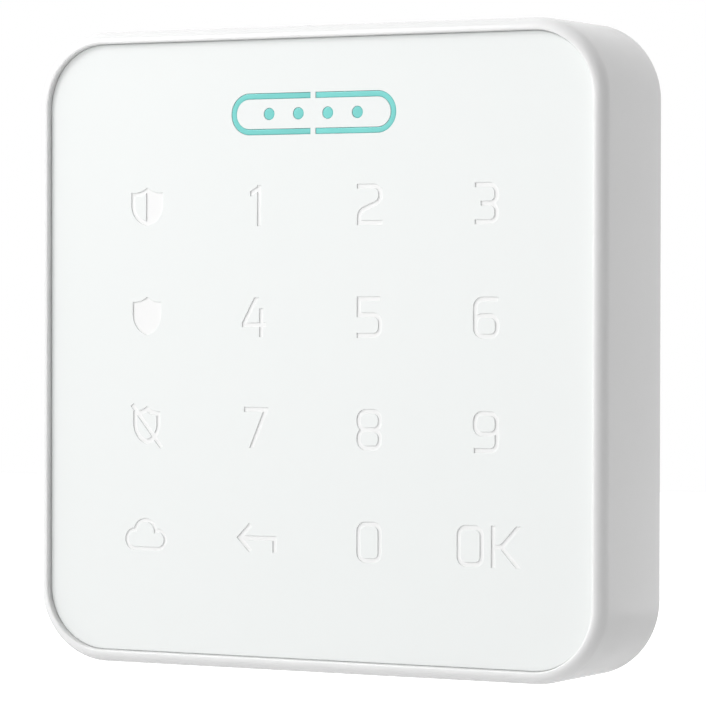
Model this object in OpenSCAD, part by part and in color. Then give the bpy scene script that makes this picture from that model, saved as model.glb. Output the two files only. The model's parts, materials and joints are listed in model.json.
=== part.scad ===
// Wireless wall keypad with a touch panel, seen from its wall.
// Every module is drawn flat on the wall: X to the right, Y up, Z out of the wall.
// upright() then stands it up, so that the finished model has +Z up and its front faces -Y.

/* [Case] */
// Width and height of the square case
case_w = 100; // [96:1:110]
// Distance from the wall to the front of the rim
case_depth = 21; // [21:0.5:24]
// Outer corner radius of the case
case_corner_r = 12; // [11:0.5:15]
// Wall thickness, which is also the width of the rim
case_wall = 2; // [1.9:0.1:2.2]
// Rounding of the rim's outer edge
rim_r = 1.8; // [1:0.1:1.8]
// Depth of the glossy panel behind the rim
panel_recess = 1; // [0.6:0.1:1.2]

/* [Touch panel] */
// Thickness of the touch panel
panel_t = 1.4; // [1.2:0.1:1.4]
// Gap between the panel and the rim
panel_gap = 0.1; // [0.1:0.05:0.3]
// Rounding of the panel's front edge
panel_edge_r = 0.6; // [0.3:0.1:0.8]
// Distance between key columns
key_pitch_x = 20; // [19:0.5:21]
// Distance between key rows
key_pitch_y = 17.25; // [16:0.25:18]
// Height of the middle of the key field
keys_y = -3.65; // [-5:0.05:-2]
// Height of a digit
digit_h = 6.3; // [5.5:0.1:7]
// Width of a digit
digit_w = 4.4; // [4:0.1:5]
// Width of the engraved lines
stroke = 0.7; // [0.6:0.05:0.8]
// Depth of the engraving
engrave = 0.25; // [0.2:0.05:0.5]

/* [Status light] */
// Width of the lit outline above the keys
light_w = 29; // [24:1:32]
// Height of the lit outline
light_h = 6.4; // [5:0.2:8]
// Height of its middle on the panel
light_y = 36.4; // [34:0.2:38]
// Width of its line
light_line = 0.85; // [0.7:0.05:1]
// Diameter of each lit dot
light_dot_d = 1.8; // [1.4:0.1:2.4]

/* [Wall bracket] */
// Thickness of the bracket plate
bracket_t = 2.2; // [2.2:0.1:2.3]
// How far the keypad is pushed up to leave the bracket
release_travel = 7; // [6:0.5:7]
// Distance between the screw holes, left to right
screw_pitch_x = 72; // [70:1:74]
// Distance between the screw holes, top to bottom
screw_pitch_y = 70; // [68:1:72]
// Diameter of the screw holes
screw_hole_d = 3.8; // [3.4:0.1:4.2]

/* [Batteries] */
// Cell diameter
cell_d = 10.5; // [10.2:0.1:10.5]
// Cell length with its button
cell_l = 44.5; // [43.5:0.1:44.5]
// Distance between neighbouring cells
cell_pitch = 11.2; // [11:0.1:11.2]

/* [Hidden] */
$fn = 48;

// A cut runs this far past the face that it opens
over = 1;
// Sliding clearance round a moving piece
slide_gap = 0.2;

half = case_w / 2;
inner_half = half - case_wall;
inner_corner_r = case_corner_r - case_wall;

// Levels, measured out from the wall
case_back = 0.4;
cover_back = bracket_t + 0.4;
cover_t = 1.8;
cover_front = cover_back + cover_t;
panel_front = case_depth - panel_recess;
panel_back = panel_front - panel_t;
gasket_t = 0.3;
ledge_front = panel_back - gasket_t;
ledge_t = 1.4;
ledge_back = ledge_front - ledge_t;
guide_t = 0.4;
guide_back = panel_back - guide_t;
touch_board_t = 1;
touch_board_back = ledge_back - touch_board_t;
main_board_t = 1.4;
main_board_back = 10.4;
main_board_front = main_board_back + main_board_t;

// Window in the ledge behind the panel, and what fits it
ledge_w = 6.5;
window_half = inner_half - ledge_w;
window_corner_r = inner_corner_r - ledge_w;
insert_half = window_half - 0.5;
key_well_r = 5.8;

// Keys, as columns from left to right and rows from top to bottom
columns = [for (i = [0:3]) (i - 1.5) * key_pitch_x];
rows = [for (i = [0:3]) keys_y + (1.5 - i) * key_pitch_y];

// Case screws and the bosses that take them
boss_at = inner_half - 5.4;
boss_r = 2.8;
boss_pilot_r = 1.25;
case_screw_r = 1.2;
case_screw_head_r = 2.3;
case_screw_head_h = 1.1;
case_screw_l = 9;
peg_at = inner_half - 3.5;
peg_r = 0.9;

// Lip that centres the cover in the case, and the ribs that stiffen it
cover_gap = 0.2;
lip_t = 1;
lip_h = 1.2;
rib_t = 1;
rib_h = 1.4;
rib_x = 5.5;
rib_y = -33;

// Mushroom studs on the bracket and the keyholes that hang on them
stud_x = 38.5;
stud_ys = [22, -22];
stud_neck_r = 1.6;
stud_head_r = 3.1;
stud_head_h = 1.3;
stud_head_back = cover_front + 0.3;
keyhole_slot_r = stud_neck_r + slide_gap;
keyhole_entry_r = stud_head_r + 0.3;
hang_gap = 0.05;

// Bracket outline
bracket_half_w = inner_half - 1.5;
bracket_top = inner_half - 1.2;
bracket_bottom = -inner_half + release_travel + 1;
bracket_corner_r = 8;
bracket_window = [48, 36];
bracket_window_y = 21;
screws_y = 2;
screw_head_d = 7.4;
screw_land = 0.6;

// Part of the bracket that stays on the wall when the rest is torn off, and so frees the plunger
anchor_at = [14, -27.3];
anchor_size = [13, 22.4];
anchor_corner_r = 3;
anchor_slot = 0.8;
anchor_bridge = 1.2;
anchor_screw_y = -33.2;

// Tamper plunger, its spring and the ramp that it rides
tamper_at = [14, -26];
plunger_r = 1.4;
plunger_travel = 1.4;
ramp_slope = plunger_travel / release_travel;
ramp_gap = 0.15;
ramp_half_w = 2.4;
plunger_tip = bracket_t - 0.1;
plunger_flange_back = cover_front + plunger_travel + 0.1;
plunger_flange_t = 0.5;
plunger_flange_r = 2.4;
plunger_end = 9.6;
tamper_body = [7, 7, 2.5];
spring_wire_d = 0.35;

// Power switch and its slider
power_at = [-14, -26];
power_body = [9, 4.4, 3.2];
power_travel = 2.5;
knob_w = 2.6;

// Battery bay, moulded in one with the rear cover
bay_wall = 1.2;
bay_half_w = 25.5;
cell_r = cell_d / 2;
cell_level = cover_back + 0.6 + cell_r;
cell_rows = [for (i = [0:3]) 20.7 + (i - 1.5) * cell_pitch];
bay_bottom = cell_rows[0] - cell_r - 0.35;
bay_top = cell_rows[3] + cell_r + 0.35;
bay_floor = cell_level + cell_r + 0.2;
bay_floor_t = 1;
contact_t = 0.4;
contact_button = 0.6;
cell_button_l = 0.8;
cell_button_r = 1.9;
cell_front_end = bay_half_w - contact_t - contact_button;
cell_back_end = cell_front_end - cell_l;

// Where things sit on the boards
main_board_at = [0, -25.2];
main_board_size = [86, 39];
standoffs = [[-30, -11], [30, -11], [0, -41]];
standoff_r = 2.5;
label_at = [0, -11];
label_size = [40, 10];
label_corner_r = 1;
board_screw_r = 0.95;
board_screw_pilot_r = 1;
board_screw_head_r = 2;
header_at = [-12, -20];
header_size = [22, 5];
buzzer_at = [-26, -36];

// ---------- helpers ----------

module upright() {
    rotate([90, 0, 0]) children();
}

// A flat outline given a thickness, starting at a level above the wall
module layer(level, thick) {
    translate([0, 0, level]) linear_extrude(thick) children();
}

module block(at, size, level) {
    translate([at[0] - size[0] / 2, at[1] - size[1] / 2, level]) cube(size);
}

// Rectangle with round corners, centred on a point
module round_rect(at, size, r) {
    w = size[0] / 2 - r;
    h = size[1] / 2 - r;
    translate(at) {
        square([size[0], 2 * h], center = true);
        square([2 * w, size[1]], center = true);
        for (x = [-w, w], y = [-h, h]) translate([x, y]) circle(r);
    }
}

module round_square(half_side, r) {
    round_rect([0, 0], [2 * half_side, 2 * half_side], r);
}

// Sweeps a wall section round a square with round corners.
// In the section, x = 0 is the outer face and y is the level above the wall.
module swept_round(half_side, corner_r) {
    straight = half_side - corner_r;
    for (turn = [0:90:270]) rotate(turn) {
        translate([straight, straight, 0])
            rotate_extrude(angle = 90) translate([corner_r, 0]) children();
        translate([half_side, straight, 0])
            rotate([90, 0, 0]) linear_extrude(2 * straight) children();
    }
}

// A place at each corner of a rectangle
module corners(x, y) {
    for (sx = [-1, 1], sy = [-1, 1]) translate([sx * x, sy * y, 0]) children();
}

// ---------- engraved signs, each centred on its key ----------

sign_x = (digit_w - stroke) / 2;
sign_y = (digit_h - stroke) / 2;
bend_r = 1.2;
// The round bends are this much slimmer than the line, so that no circle only grazes its edge
bend_inset = 0.015;

// Lines joined end to end by round bends. The square ends reach half a line past the end points.
module path(points) {
    last = len(points) - 1;
    for (i = [1:last]) {
        run = points[i] - points[i - 1];
        tail = i == 1 ? stroke / 2 : 0;
        tip = i == last ? stroke / 2 : 0;
        translate(points[i - 1]) rotate(atan2(run[1], run[0]))
            translate([-tail, -stroke / 2]) square([norm(run) + tail + tip, stroke]);
        if (i < last) translate(points[i]) circle(stroke / 2 - bend_inset);
    }
}

// Trims slanted lines to a box, as a typeface does
module trimmed(low, high) {
    intersection() {
        children();
        translate(low) square(high - low);
    }
}

// A closed outline with round corners between two opposite corner points
module loop(low, high) {
    middle = (low + high) / 2;
    size = high - low;
    difference() {
        round_rect(middle, size + [stroke, stroke], bend_r + stroke / 2);
        round_rect(middle, size - [stroke, stroke], bend_r - stroke / 2);
    }
}

// The part of a loop that lies inside a box
module loop_part(low, high, box_low, box_high) {
    trimmed(box_low, box_high) loop(low, high);
}

module sign_0() {
    loop([-sign_x, -sign_y], [sign_x, sign_y]);
}

module sign_1() {
    stem_x = 0.45;
    path([[stem_x, sign_y], [stem_x, -sign_y]]);
    trimmed([-1.15, 0], [stem_x, digit_h / 2]) path([[-1.45, sign_y - 1.1], [0.95, sign_y + 0.15]]);
}

module sign_2() {
    bowl = 1.4;
    loop_part([-sign_x, 0.2], [sign_x, sign_y], [0, bowl], [3, 4]);
    path([[-sign_x, sign_y], [0, sign_y]]);
    path([
        [sign_x, bowl + stroke], [sign_x, 1], [1.5, 0.45], [0.95, 0.1],
        [-1.2, -0.75], [-1.6, -1.1], [-sign_x, -1.6], [-sign_x, -sign_y]
    ]);
    path([[-sign_x, -sign_y], [sign_x, -sign_y]]);
}

module sign_3() {
    right = sign_x - 0.15;
    loop_part([-sign_x, 0], [right, sign_y], [0, -1], [3, 4]);
    loop_part([-sign_x, -sign_y], [right, 0], [0, -4], [3, 1]);
    for (y = [-sign_y, sign_y]) path([[0.25 - sign_x, y], [0, y]]);
    path([[-0.6, 0], [0.2, 0]]);
}

module sign_4() {
    bar_y = -1.3;
    left = -2.6;
    stem_x = 0.85;
    trimmed([left, bar_y - stroke / 2], [1, digit_h / 2 - 0.2]) path([[-2.6, -1.7], [0, 3]]);
    path([[left + stroke / 2, bar_y], [1.4, bar_y]]);
    path([[stem_x, 0.9], [stem_x, -sign_y]]);
}

module sign_5() {
    belly = 0.35;
    path([[sign_x - 0.4, sign_y], [-sign_x, sign_y]]);
    path([[-sign_x, sign_y], [-sign_x, belly]]);
    path([[-sign_x, belly], [0, belly]]);
    loop_part([-sign_x, -sign_y], [sign_x, belly], [0, -4], [3, 1]);
    path([[-sign_x, -sign_y], [0, -sign_y]]);
}

module sign_6() {
    loop([-sign_x, -sign_y], [sign_x, 0.3]);
    loop_part([-sign_x, -sign_y], [sign_x, sign_y], [-3, -1.4], [0, 4]);
    path([[0, sign_y], [sign_x - 0.2, sign_y]]);
}

module sign_7() {
    right = digit_w / 2 - 0.1;
    path([[-sign_x, sign_y], [right - stroke / 2, sign_y]]);
    trimmed([-2, -digit_h / 2], [right, sign_y]) path([[right - 0.25, sign_y + 0.3], [-0.85, -digit_h / 2]]);
}

module sign_8() {
    loop([-sign_x, 0], [sign_x, sign_y]);
    loop([-sign_x, -sign_y], [sign_x, 0]);
}

module sign_9() {
    rotate(180) sign_6();
}

module sign_ok() {
    translate([-2.6, 0]) loop([-sign_x - 0.1, -sign_y], [sign_x + 0.1, sign_y]);
    translate([1.25, 0]) {
        path([[0, -sign_y], [0, sign_y]]);
        path([[0, 0], [1.3, 0]]);
        for (side = [0, 1]) mirror([0, side, 0])
            trimmed([0, -stroke / 2], [5, digit_h / 2]) path([[1.35, -0.05], [4.3, sign_y + 0.35]]);
    }
}

// Shield: straight flanks that curve in to a point, and two hollow curves over the top
shield_top = 3;
shield_shoulder = 2.2;
shield_flank = 0.3;
shield_point = -3;
shield_top_r = 3.6;
// The tip is blunt by this much and the flanks overlap by it, so that no outlines only touch
shield_blunt = 0.02;

module shield_plate(half_w) {
    drop = shield_flank - shield_point;
    side_off = (drop * drop - half_w * half_w) / (2 * half_w);
    side_r = half_w + side_off + shield_blunt;
    shoulder_run = [half_w, shield_shoulder - shield_top];
    chord = norm(shoulder_run);
    rise = sqrt(shield_top_r * shield_top_r - chord * chord / 4);
    hollow = [
        half_w / 2 - shoulder_run[1] / chord * rise,
        (shield_shoulder + shield_top) / 2 + shoulder_run[0] / chord * rise
    ];
    difference() {
        union() {
            translate([-half_w, shield_flank - shield_blunt])
                square([2 * half_w, shield_top - shield_flank]);
            intersection() {
                translate([-side_off, shield_flank]) circle(side_r);
                translate([side_off, shield_flank]) circle(side_r);
                translate([-half_w, shield_point]) square([2 * half_w, drop]);
            }
        }
        for (s = [-1, 1]) translate([s * hollow[0], hollow[1]]) circle(shield_top_r);
    }
}

module shield_inside(half_w) {
    scale(1 - stroke / half_w) shield_plate(half_w);
}

module sign_half_shield() {
    half_w = 2.9;
    difference() {
        shield_plate(half_w);
        trimmed([-4, -4], [-0.15, 4]) shield_inside(half_w);
    }
}

module sign_full_shield() {
    shield_plate(2.6);
}

module sign_no_shield() {
    half_w = 2.5;
    difference() {
        shield_plate(half_w);
        shield_inside(half_w);
    }
    path([[-2.5, 2.95], [2.5, -3.15]]);
}

// Cloud: three round lobes on a flat base
module cloud_plate(inset) {
    lobes = [[-2.2, -0.75, 1.75], [2, -0.78, 1.72], [-0.25, 0.38, 2.17]];
    base = -2.5;
    for (lobe = lobes) translate([lobe[0], lobe[1]]) circle(lobe[2] - inset);
    translate([lobes[0][0], base + inset]) square([lobes[1][0] - lobes[0][0], 2 - inset]);
}

module sign_cloud() {
    difference() {
        cloud_plate(0);
        cloud_plate(stroke - 0.15);
    }
}

module sign_return() {
    tip = [-3, 0.05];
    corner = [3.3, 0.05];
    for (y = [1.85, -1.75]) path([tip, [-1.25, y]]);
    path([[-2.6, tip[1]], corner]);
    path([corner, [corner[0], -1.8]]);
}

module sign(column, row) {
    if (column == 0 && row == 0) sign_half_shield();
    if (column == 0 && row == 1) sign_full_shield();
    if (column == 0 && row == 2) sign_no_shield();
    if (column == 0 && row == 3) sign_cloud();
    if (column == 1 && row == 0) sign_1();
    if (column == 1 && row == 1) sign_4();
    if (column == 1 && row == 2) sign_7();
    if (column == 1 && row == 3) sign_return();
    if (column == 2 && row == 0) sign_2();
    if (column == 2 && row == 1) sign_5();
    if (column == 2 && row == 2) sign_8();
    if (column == 2 && row == 3) sign_0();
    if (column == 3 && row == 0) sign_3();
    if (column == 3 && row == 1) sign_6();
    if (column == 3 && row == 2) sign_9();
    if (column == 3 && row == 3) sign_ok();
}

module key_signs() {
    for (c = [0:3], r = [0:3]) translate([columns[c], rows[r]]) sign(c, r);
}

// The lit outline is cut in two by bridges that hold its middle, with a dot for each digit of a code
light_bridge = 1;
light_dots = [for (i = [0:3]) (i - 1.5) * 5.2];

module status_marks(grow) {
    translate([0, light_y]) {
        difference() {
            round_rect([0, 0], [light_w + 2 * grow, light_h + 2 * grow], light_h / 2 + grow - 0.01);
            round_rect(
                [0, 0],
                [light_w - 2 * light_line - 2 * grow, light_h - 2 * light_line - 2 * grow],
                light_h / 2 - light_line - grow - 0.01
            );
            square([light_bridge - 2 * grow, light_h + 4 * over], center = true);
        }
        for (x = light_dots) translate([x, 0]) circle(light_dot_d / 2 + grow);
    }
}

// ---------- bracket ----------

module bracket_outline() {
    size = [2 * bracket_half_w, bracket_top - bracket_bottom];
    round_rect([0, (bracket_top + bracket_bottom) / 2], size, bracket_corner_r);
}

module mushroom_stud() {
    chamfer = 0.5;
    translate([0, 0, bracket_t - over]) cylinder(h = stud_head_back - bracket_t + over, r = stud_neck_r);
    translate([0, 0, stud_head_back]) cylinder(h = stud_head_h - chamfer, r = stud_head_r);
    translate([0, 0, stud_head_back + stud_head_h - chamfer])
        cylinder(h = chamfer, r1 = stud_head_r, r2 = stud_head_r - chamfer);
}

// Sloping groove: its floor drops towards the wall as the keypad is pushed up
module tamper_ramp() {
    ramp_start = tamper_at[1] - plunger_r - 0.4;
    ramp_end = tamper_at[1] + release_travel + plunger_r + 0.6;
    floor_at_rest = plunger_tip - ramp_gap;
    translate([tamper_at[0] - ramp_half_w, 0, 0])
        rotate([90, 0, 90]) linear_extrude(2 * ramp_half_w) polygon([
            [ramp_start, bracket_t + over],
            [ramp_start, floor_at_rest + ramp_slope * (tamper_at[1] - ramp_start)],
            [ramp_end, floor_at_rest - ramp_slope * (ramp_end - tamper_at[1])],
            [ramp_end, bracket_t + over]
        ]);
}

// Countersunk hole for a wall screw
module screw_sink() {
    translate([0, 0, -over]) cylinder(h = bracket_t + 2 * over, d = screw_hole_d);
    translate([0, 0, screw_land])
        cylinder(h = bracket_t - screw_land + 0.001, d1 = screw_hole_d, d2 = screw_head_d);
}

// Slots round the anchor, with a thin bridge in the middle of each side
module anchor_slots() {
    grown = anchor_size + [2 * anchor_slot, 2 * anchor_slot];
    difference() {
        round_rect(anchor_at, grown, anchor_corner_r + anchor_slot);
        round_rect(anchor_at, anchor_size, anchor_corner_r);
        translate(anchor_at) {
            square([anchor_bridge, 2 * anchor_size[1]], center = true);
            square([2 * anchor_size[0], anchor_bridge], center = true);
        }
    }
}

module wall_bracket() color("#e9ebea") upright() difference() {
    union() {
        layer(0, bracket_t) difference() {
            bracket_outline();
            round_rect([0, bracket_window_y], bracket_window, 4);
        }
        for (sx = [-1, 1], y = stud_ys) translate([sx * stud_x, y, 0]) mushroom_stud();
    }
    translate([0, screws_y, 0]) corners(screw_pitch_x / 2, screw_pitch_y / 2) screw_sink();
    translate([anchor_at[0], anchor_screw_y, 0]) screw_sink();
    layer(-over, bracket_t + 2 * over) anchor_slots();
    tamper_ramp();
}

// ---------- case ----------

// Wall with a rounded rim at the front and a ledge that carries the panel
module case_section() {
    lip_r = 0.4;
    difference() {
        union() {
            translate([-case_wall, case_back]) square([case_wall, case_depth - rim_r - case_back]);
            translate([-case_wall, 0]) square([case_wall - rim_r, case_depth]);
            intersection() {
                translate([-rim_r, case_depth - rim_r]) circle(rim_r);
                translate([-rim_r, case_depth - rim_r]) square(rim_r);
            }
            translate([window_half - half, ledge_back]) square([half - window_half - case_wall / 2, ledge_t]);
        }
        translate([-case_wall - over, -over]) square([case_wall + 2 * over, case_back + over]);
        difference() {
            translate([-lip_r, case_back - over]) square([lip_r + over, lip_r + over]);
            translate([-lip_r, case_back + lip_r]) circle(lip_r);
        }
    }
}

module front_case() color("#f4f5f4") upright() {
    difference() {
        union() {
            swept_round(half, case_corner_r) case_section();
            corners(boss_at, boss_at)
                translate([0, 0, cover_front]) cylinder(h = ledge_back - cover_front + 0.5, r = boss_r);
            for (turn = [0:90:270]) rotate(turn)
                translate([peg_at, 0, touch_board_back - 0.7])
                    cylinder(h = ledge_back - touch_board_back + 1, r = peg_r);
        }
        corners(boss_at, boss_at)
            translate([0, 0, cover_front - over]) cylinder(h = case_screw_l + over, r = boss_pilot_r);
    }
}

// ---------- panel and what shows through it ----------

module panel_section() {
    difference() {
        translate([-4, panel_back]) square([4, panel_t]);
        difference() {
            translate([-panel_edge_r, panel_front - panel_edge_r]) square(panel_edge_r + over);
            translate([-panel_edge_r, panel_front - panel_edge_r]) circle(panel_edge_r);
        }
    }
}

module touch_panel() color("#eef2f1") upright() {
    panel_half = inner_half - panel_gap;
    panel_corner_r = inner_corner_r - panel_gap;
    difference() {
        union() {
            swept_round(panel_half, panel_corner_r) panel_section();
            layer(panel_back, panel_t) round_square(panel_half - 3, panel_corner_r - 3);
        }
        layer(panel_front - engrave, engrave + over) key_signs();
        layer(panel_back - over, panel_t + 2 * over) status_marks(0.05);
    }
}

module status_light() color("#12a79a") upright() {
    layer(guide_back, guide_t) round_rect([0, light_y], [light_w + 3, light_h + 2.4], 1.5);
    layer(panel_back - 0.1, panel_t - 0.1) status_marks(0);
}

module panel_gasket() color("#2a2c2e") upright() layer(ledge_front, gasket_t) difference() {
    round_square(inner_half - 0.6, inner_corner_r - 0.6);
    round_square(window_half, window_corner_r);
}

module light_guide() color("#e6ece9") upright() layer(guide_back, guide_t) difference() {
    round_square(insert_half, window_corner_r);
    round_rect([0, light_y], [light_w + 3.4, light_h + 2.8], 1.7);
}

// White grid that keeps the light of each key to itself
module light_frame() color("#fbfbf9") upright() difference() {
    layer(ledge_back, guide_back - ledge_back) round_square(insert_half, window_corner_r);
    for (x = columns, y = rows) translate([x, y, ledge_back - over])
        cylinder(h = guide_back - ledge_back + 2 * over, r = key_well_r);
    layer(ledge_back - over, guide_back - ledge_back + 2 * over)
        round_rect([0, light_y], [light_w, light_h], 2);
}

// ---------- electronics ----------

module touch_board() color("#1d5a3c") upright() difference() {
    layer(touch_board_back, touch_board_t) round_square(inner_half - 1.5, inner_corner_r - 1.5);
    corners(boss_at, boss_at) translate([0, 0, touch_board_back - over])
        cylinder(h = touch_board_t + 2 * over, r = boss_r + 0.4);
    for (turn = [0:90:270]) rotate(turn) translate([peg_at, 0, touch_board_back - over])
        cylinder(h = touch_board_t + 2 * over, r = peg_r + 0.15);
}

module led() {
    block([0, 0], [2, 1.25, 0.35], 0);
    block([0, 0], [1.4, 1.25, 0.7], 0);
}

module key_leds() color("#f3efd2") upright()
    for (x = columns, y = rows) translate([x, y, ledge_back]) led();

module status_leds() color("#bff0ea") upright()
    for (x = light_dots) translate([x, light_y, ledge_back]) led();

module board_header() color("#26282a") upright() {
    pin_pitch = 2;
    pins = 10;
    gap_h = touch_board_back - main_board_front;
    block(header_at, [header_size[0], header_size[1], gap_h * 0.45], touch_board_back - gap_h * 0.45);
    for (i = [0:pins - 1], s = [-1, 1])
        block(
            header_at + [(i - (pins - 1) / 2) * pin_pitch, s * pin_pitch / 2],
            [0.5, 0.5, gap_h * 0.8],
            touch_board_back - gap_h * 0.8
        );
}

module board_socket() color("#1b1c1e") upright() {
    pin_pitch = 2;
    pins = 10;
    gap_h = touch_board_back - main_board_front;
    difference() {
        block(header_at, [header_size[0], header_size[1], gap_h * 0.55], main_board_front);
        for (i = [0:pins - 1], s = [-1, 1])
            block(
                header_at + [(i - (pins - 1) / 2) * pin_pitch, s * pin_pitch / 2],
                [0.7, 0.7, gap_h * 0.5],
                main_board_front + gap_h * 0.15
            );
    }
}

module main_board() color("#1f6a45") upright() difference() {
    layer(main_board_back, main_board_t) round_rect(main_board_at, main_board_size, 2);
    corners(boss_at, boss_at) translate([0, 0, main_board_back - over])
        cylinder(h = main_board_t + 2 * over, r = boss_r + 0.5);
    for (p = standoffs) translate([p[0], p[1], main_board_back - over])
        cylinder(h = main_board_t + 2 * over, r = board_screw_r + 0.3);
}

module controller_chip() color("#202224") upright() {
    at = [16, -26];
    side = 10;
    lead_pitch = 0.8;
    leads = 11;
    lead = [1.4, 0.35, 0.4];
    block(at, [side, side, 1.2], main_board_front + 0.1);
    for (turn = [0:90:270], i = [0:leads - 1])
        translate([at[0], at[1], 0]) rotate(turn)
            block([side / 2 + 0.6, (i - (leads - 1) / 2) * lead_pitch], lead, main_board_front);
}

// Small board with a shielding can, whose lid has a grid of blind vents
module radio_module() color("#c3c7c9") upright() {
    at = [33, -25];
    can_at = at + [0, -2];
    board_t = 0.8;
    can_h = 2.2;
    vent_depth = 0.4;
    block(at, [17, 22, board_t], main_board_front);
    difference() {
        block(can_at, [14, 14, can_h], main_board_front + board_t);
        for (x = [-4:2:4], y = [-4:2:4])
            translate([can_at[0] + x, can_at[1] + y, main_board_front + board_t + can_h - vent_depth])
                cylinder(h = over, r = 0.4);
    }
}

// Folded strip that stands on two feet along the board's lower edge
module antenna() color("#d6b46a") upright() {
    strip_t = 0.4;
    strip_w = 3;
    strip_l = 38;
    rise = 2.6;
    at = [-15, -42.5];
    block(at, [strip_l, strip_w, strip_t], main_board_front + rise);
    for (x = [-strip_l / 2 + strip_t / 2, -strip_l / 2 + 7])
        block(at + [x, 0], [strip_t, strip_w, rise + strip_t / 2], main_board_front);
}

module crystal() color("#cfd2d3") upright() {
    at = [2, -35];
    can_size = [10.4, 3.9];
    rim = 0.5;
    layer(main_board_front, rim) round_rect(at, can_size + [2 * rim, 2 * rim], 2.2);
    layer(main_board_front + rim - 0.1, 3) round_rect(at, can_size, 1.9);
}

module buzzer() color("#17181a") upright() {
    buzzer_h = 4.2;
    buzzer_r = 6;
    translate([buzzer_at[0], buzzer_at[1], main_board_back - buzzer_h]) difference() {
        cylinder(h = buzzer_h, r = buzzer_r);
        translate([0, 0, -over]) cylinder(h = over + 1, r = 1);
    }
}

// Lies on its side behind the main board
module buffer_capacitor() color("#39424f") upright() {
    can_r = 2.5;
    can_l = 10.5;
    translate([24, -38, main_board_back - can_r - 0.1]) rotate([0, 90, 0]) {
        cylinder(h = can_l, r = can_r);
        translate([0, 0, -0.8]) cylinder(h = 0.9, r = can_r - 0.4);
    }
}

// ---------- tamper switch ----------

module tamper_switch() color("#2f3336") upright() translate([tamper_at[0], tamper_at[1], 0]) difference() {
    block([0, 0], tamper_body, main_board_back - tamper_body[2]);
    translate([0, 0, main_board_back - tamper_body[2] - over])
        cylinder(h = tamper_body[2] + over - 0.4, r = plunger_r + 0.1);
}

module tamper_plunger() color("#f2f2f0") upright() translate([tamper_at[0], tamper_at[1], 0]) {
    dome_r = 2 * plunger_r;
    intersection() {
        translate([0, 0, plunger_tip + dome_r]) sphere(dome_r);
        translate([0, 0, plunger_tip]) cylinder(h = dome_r, r = plunger_r);
    }
    translate([0, 0, plunger_tip + 1]) cylinder(h = plunger_end - plunger_tip - 1, r = plunger_r);
    translate([0, 0, plunger_flange_back]) cylinder(h = plunger_flange_t, r = plunger_flange_r);
}

// Wire along a helix whose radius may change from one end to the other
function coil_ring(i, steps, turns, r1, r2, h, wire_r, sides) =
    let (
        part = i / steps,
        turn = 360 * turns * part,
        r = r1 + (r2 - r1) * part
    ) [
        for (k = [0:sides - 1])
            let (a = 360 * k / sides)
                [
                    (r + wire_r * cos(a)) * cos(turn),
                    (r + wire_r * cos(a)) * sin(turn),
                    h * part + wire_r * sin(a)
                ]
    ];

module coil(turns, r1, r2, h, wire_d) {
    sides = 6;
    steps_per_turn = 14;
    steps = ceil(turns * steps_per_turn);
    points = [for (i = [0:steps]) each coil_ring(i, steps, turns, r1, r2, h, wire_d / 2, sides)];
    walls = [
        for (i = [0:steps - 1], k = [0:sides - 1])
            let (a = i * sides + k, b = i * sides + (k + 1) % sides)
                [a, b, b + sides, a + sides]
    ];
    near_end = [for (k = [sides - 1:-1:0]) k];
    far_end = [for (k = [0:sides - 1]) steps * sides + k];
    polyhedron(points = points, faces = concat([far_end, near_end], [for (w = walls) [w[3], w[2], w[1], w[0]]]));
}

module tamper_spring() color("#c9cccd") upright() {
    level = plunger_flange_back + plunger_flange_t + spring_wire_d / 2 + 0.02;
    room = main_board_back - tamper_body[2] - level - spring_wire_d / 2 - 0.02;
    translate([tamper_at[0], tamper_at[1], level]) coil(2, 1.9, 1.9, room, spring_wire_d);
}

// ---------- power switch ----------

module power_switch() color("#303437") upright() translate([power_at[0], power_at[1], 0]) difference() {
    block([0, 0], power_body, main_board_back - power_body[2]);
    block([0, 0], [6.6, 2.2, 1.2 + over], main_board_back - power_body[2] - over);
}

module power_slider() color("#e8e8e4") upright() translate([power_at[0] - power_travel / 2, power_at[1], 0]) {
    foot_level = main_board_back - power_body[2] + 0.1;
    block([0, 0], [3.4, 1.8, 1], foot_level);
    block([0, 0], [1.8, 1.8, foot_level + 0.5 - cover_back - 0.8], cover_back + 0.8);
    difference() {
        block([0, 0], [knob_w, 3, 1.8], cover_back + 0.3);
        for (x = [-0.8, 0, 0.8]) block([x, 0], [0.3, 4, 0.6], cover_back);
    }
}

// ---------- rear cover with its battery bay ----------

// Opening that the bracket's stud enters at the bottom and hangs from at the top
module keyhole(stud_y) {
    entry_y = stud_y - release_travel;
    hang_y = stud_y + stud_neck_r + hang_gap - keyhole_slot_r;
    translate([0, entry_y]) circle(keyhole_entry_r);
    translate([-keyhole_slot_r, entry_y]) square([2 * keyhole_slot_r, hang_y - entry_y]);
    translate([0, hang_y]) circle(keyhole_slot_r);
}

module cover_openings() {
    for (sx = [-1, 1], y = stud_ys) translate([sx * stud_x, 0]) keyhole(y);
    translate(tamper_at) circle(plunger_r + slide_gap);
    round_rect(power_at, [knob_w + power_travel + 1.4, 4.4], 1);
    for (y = [-2.4:2.4:2.4]) round_rect(buzzer_at + [0, y], [8, 1.1], 0.5);
    corners(boss_at, boss_at) circle(case_screw_r + 0.25);
}

// Rib that holds the cells apart, hollowed to their shape
module cell_saddle() {
    rib_t = 1.6;
    difference() {
        translate([-rib_t / 2, bay_bottom - 0.1, cell_level + 0.8])
            cube([rib_t, bay_top - bay_bottom + 0.2, bay_floor - cell_level - 0.7]);
        for (y = cell_rows) translate([-over, y, cell_level])
            rotate([0, 90, 0]) cylinder(h = rib_t + over, r = cell_r + 0.2);
    }
}

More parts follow.
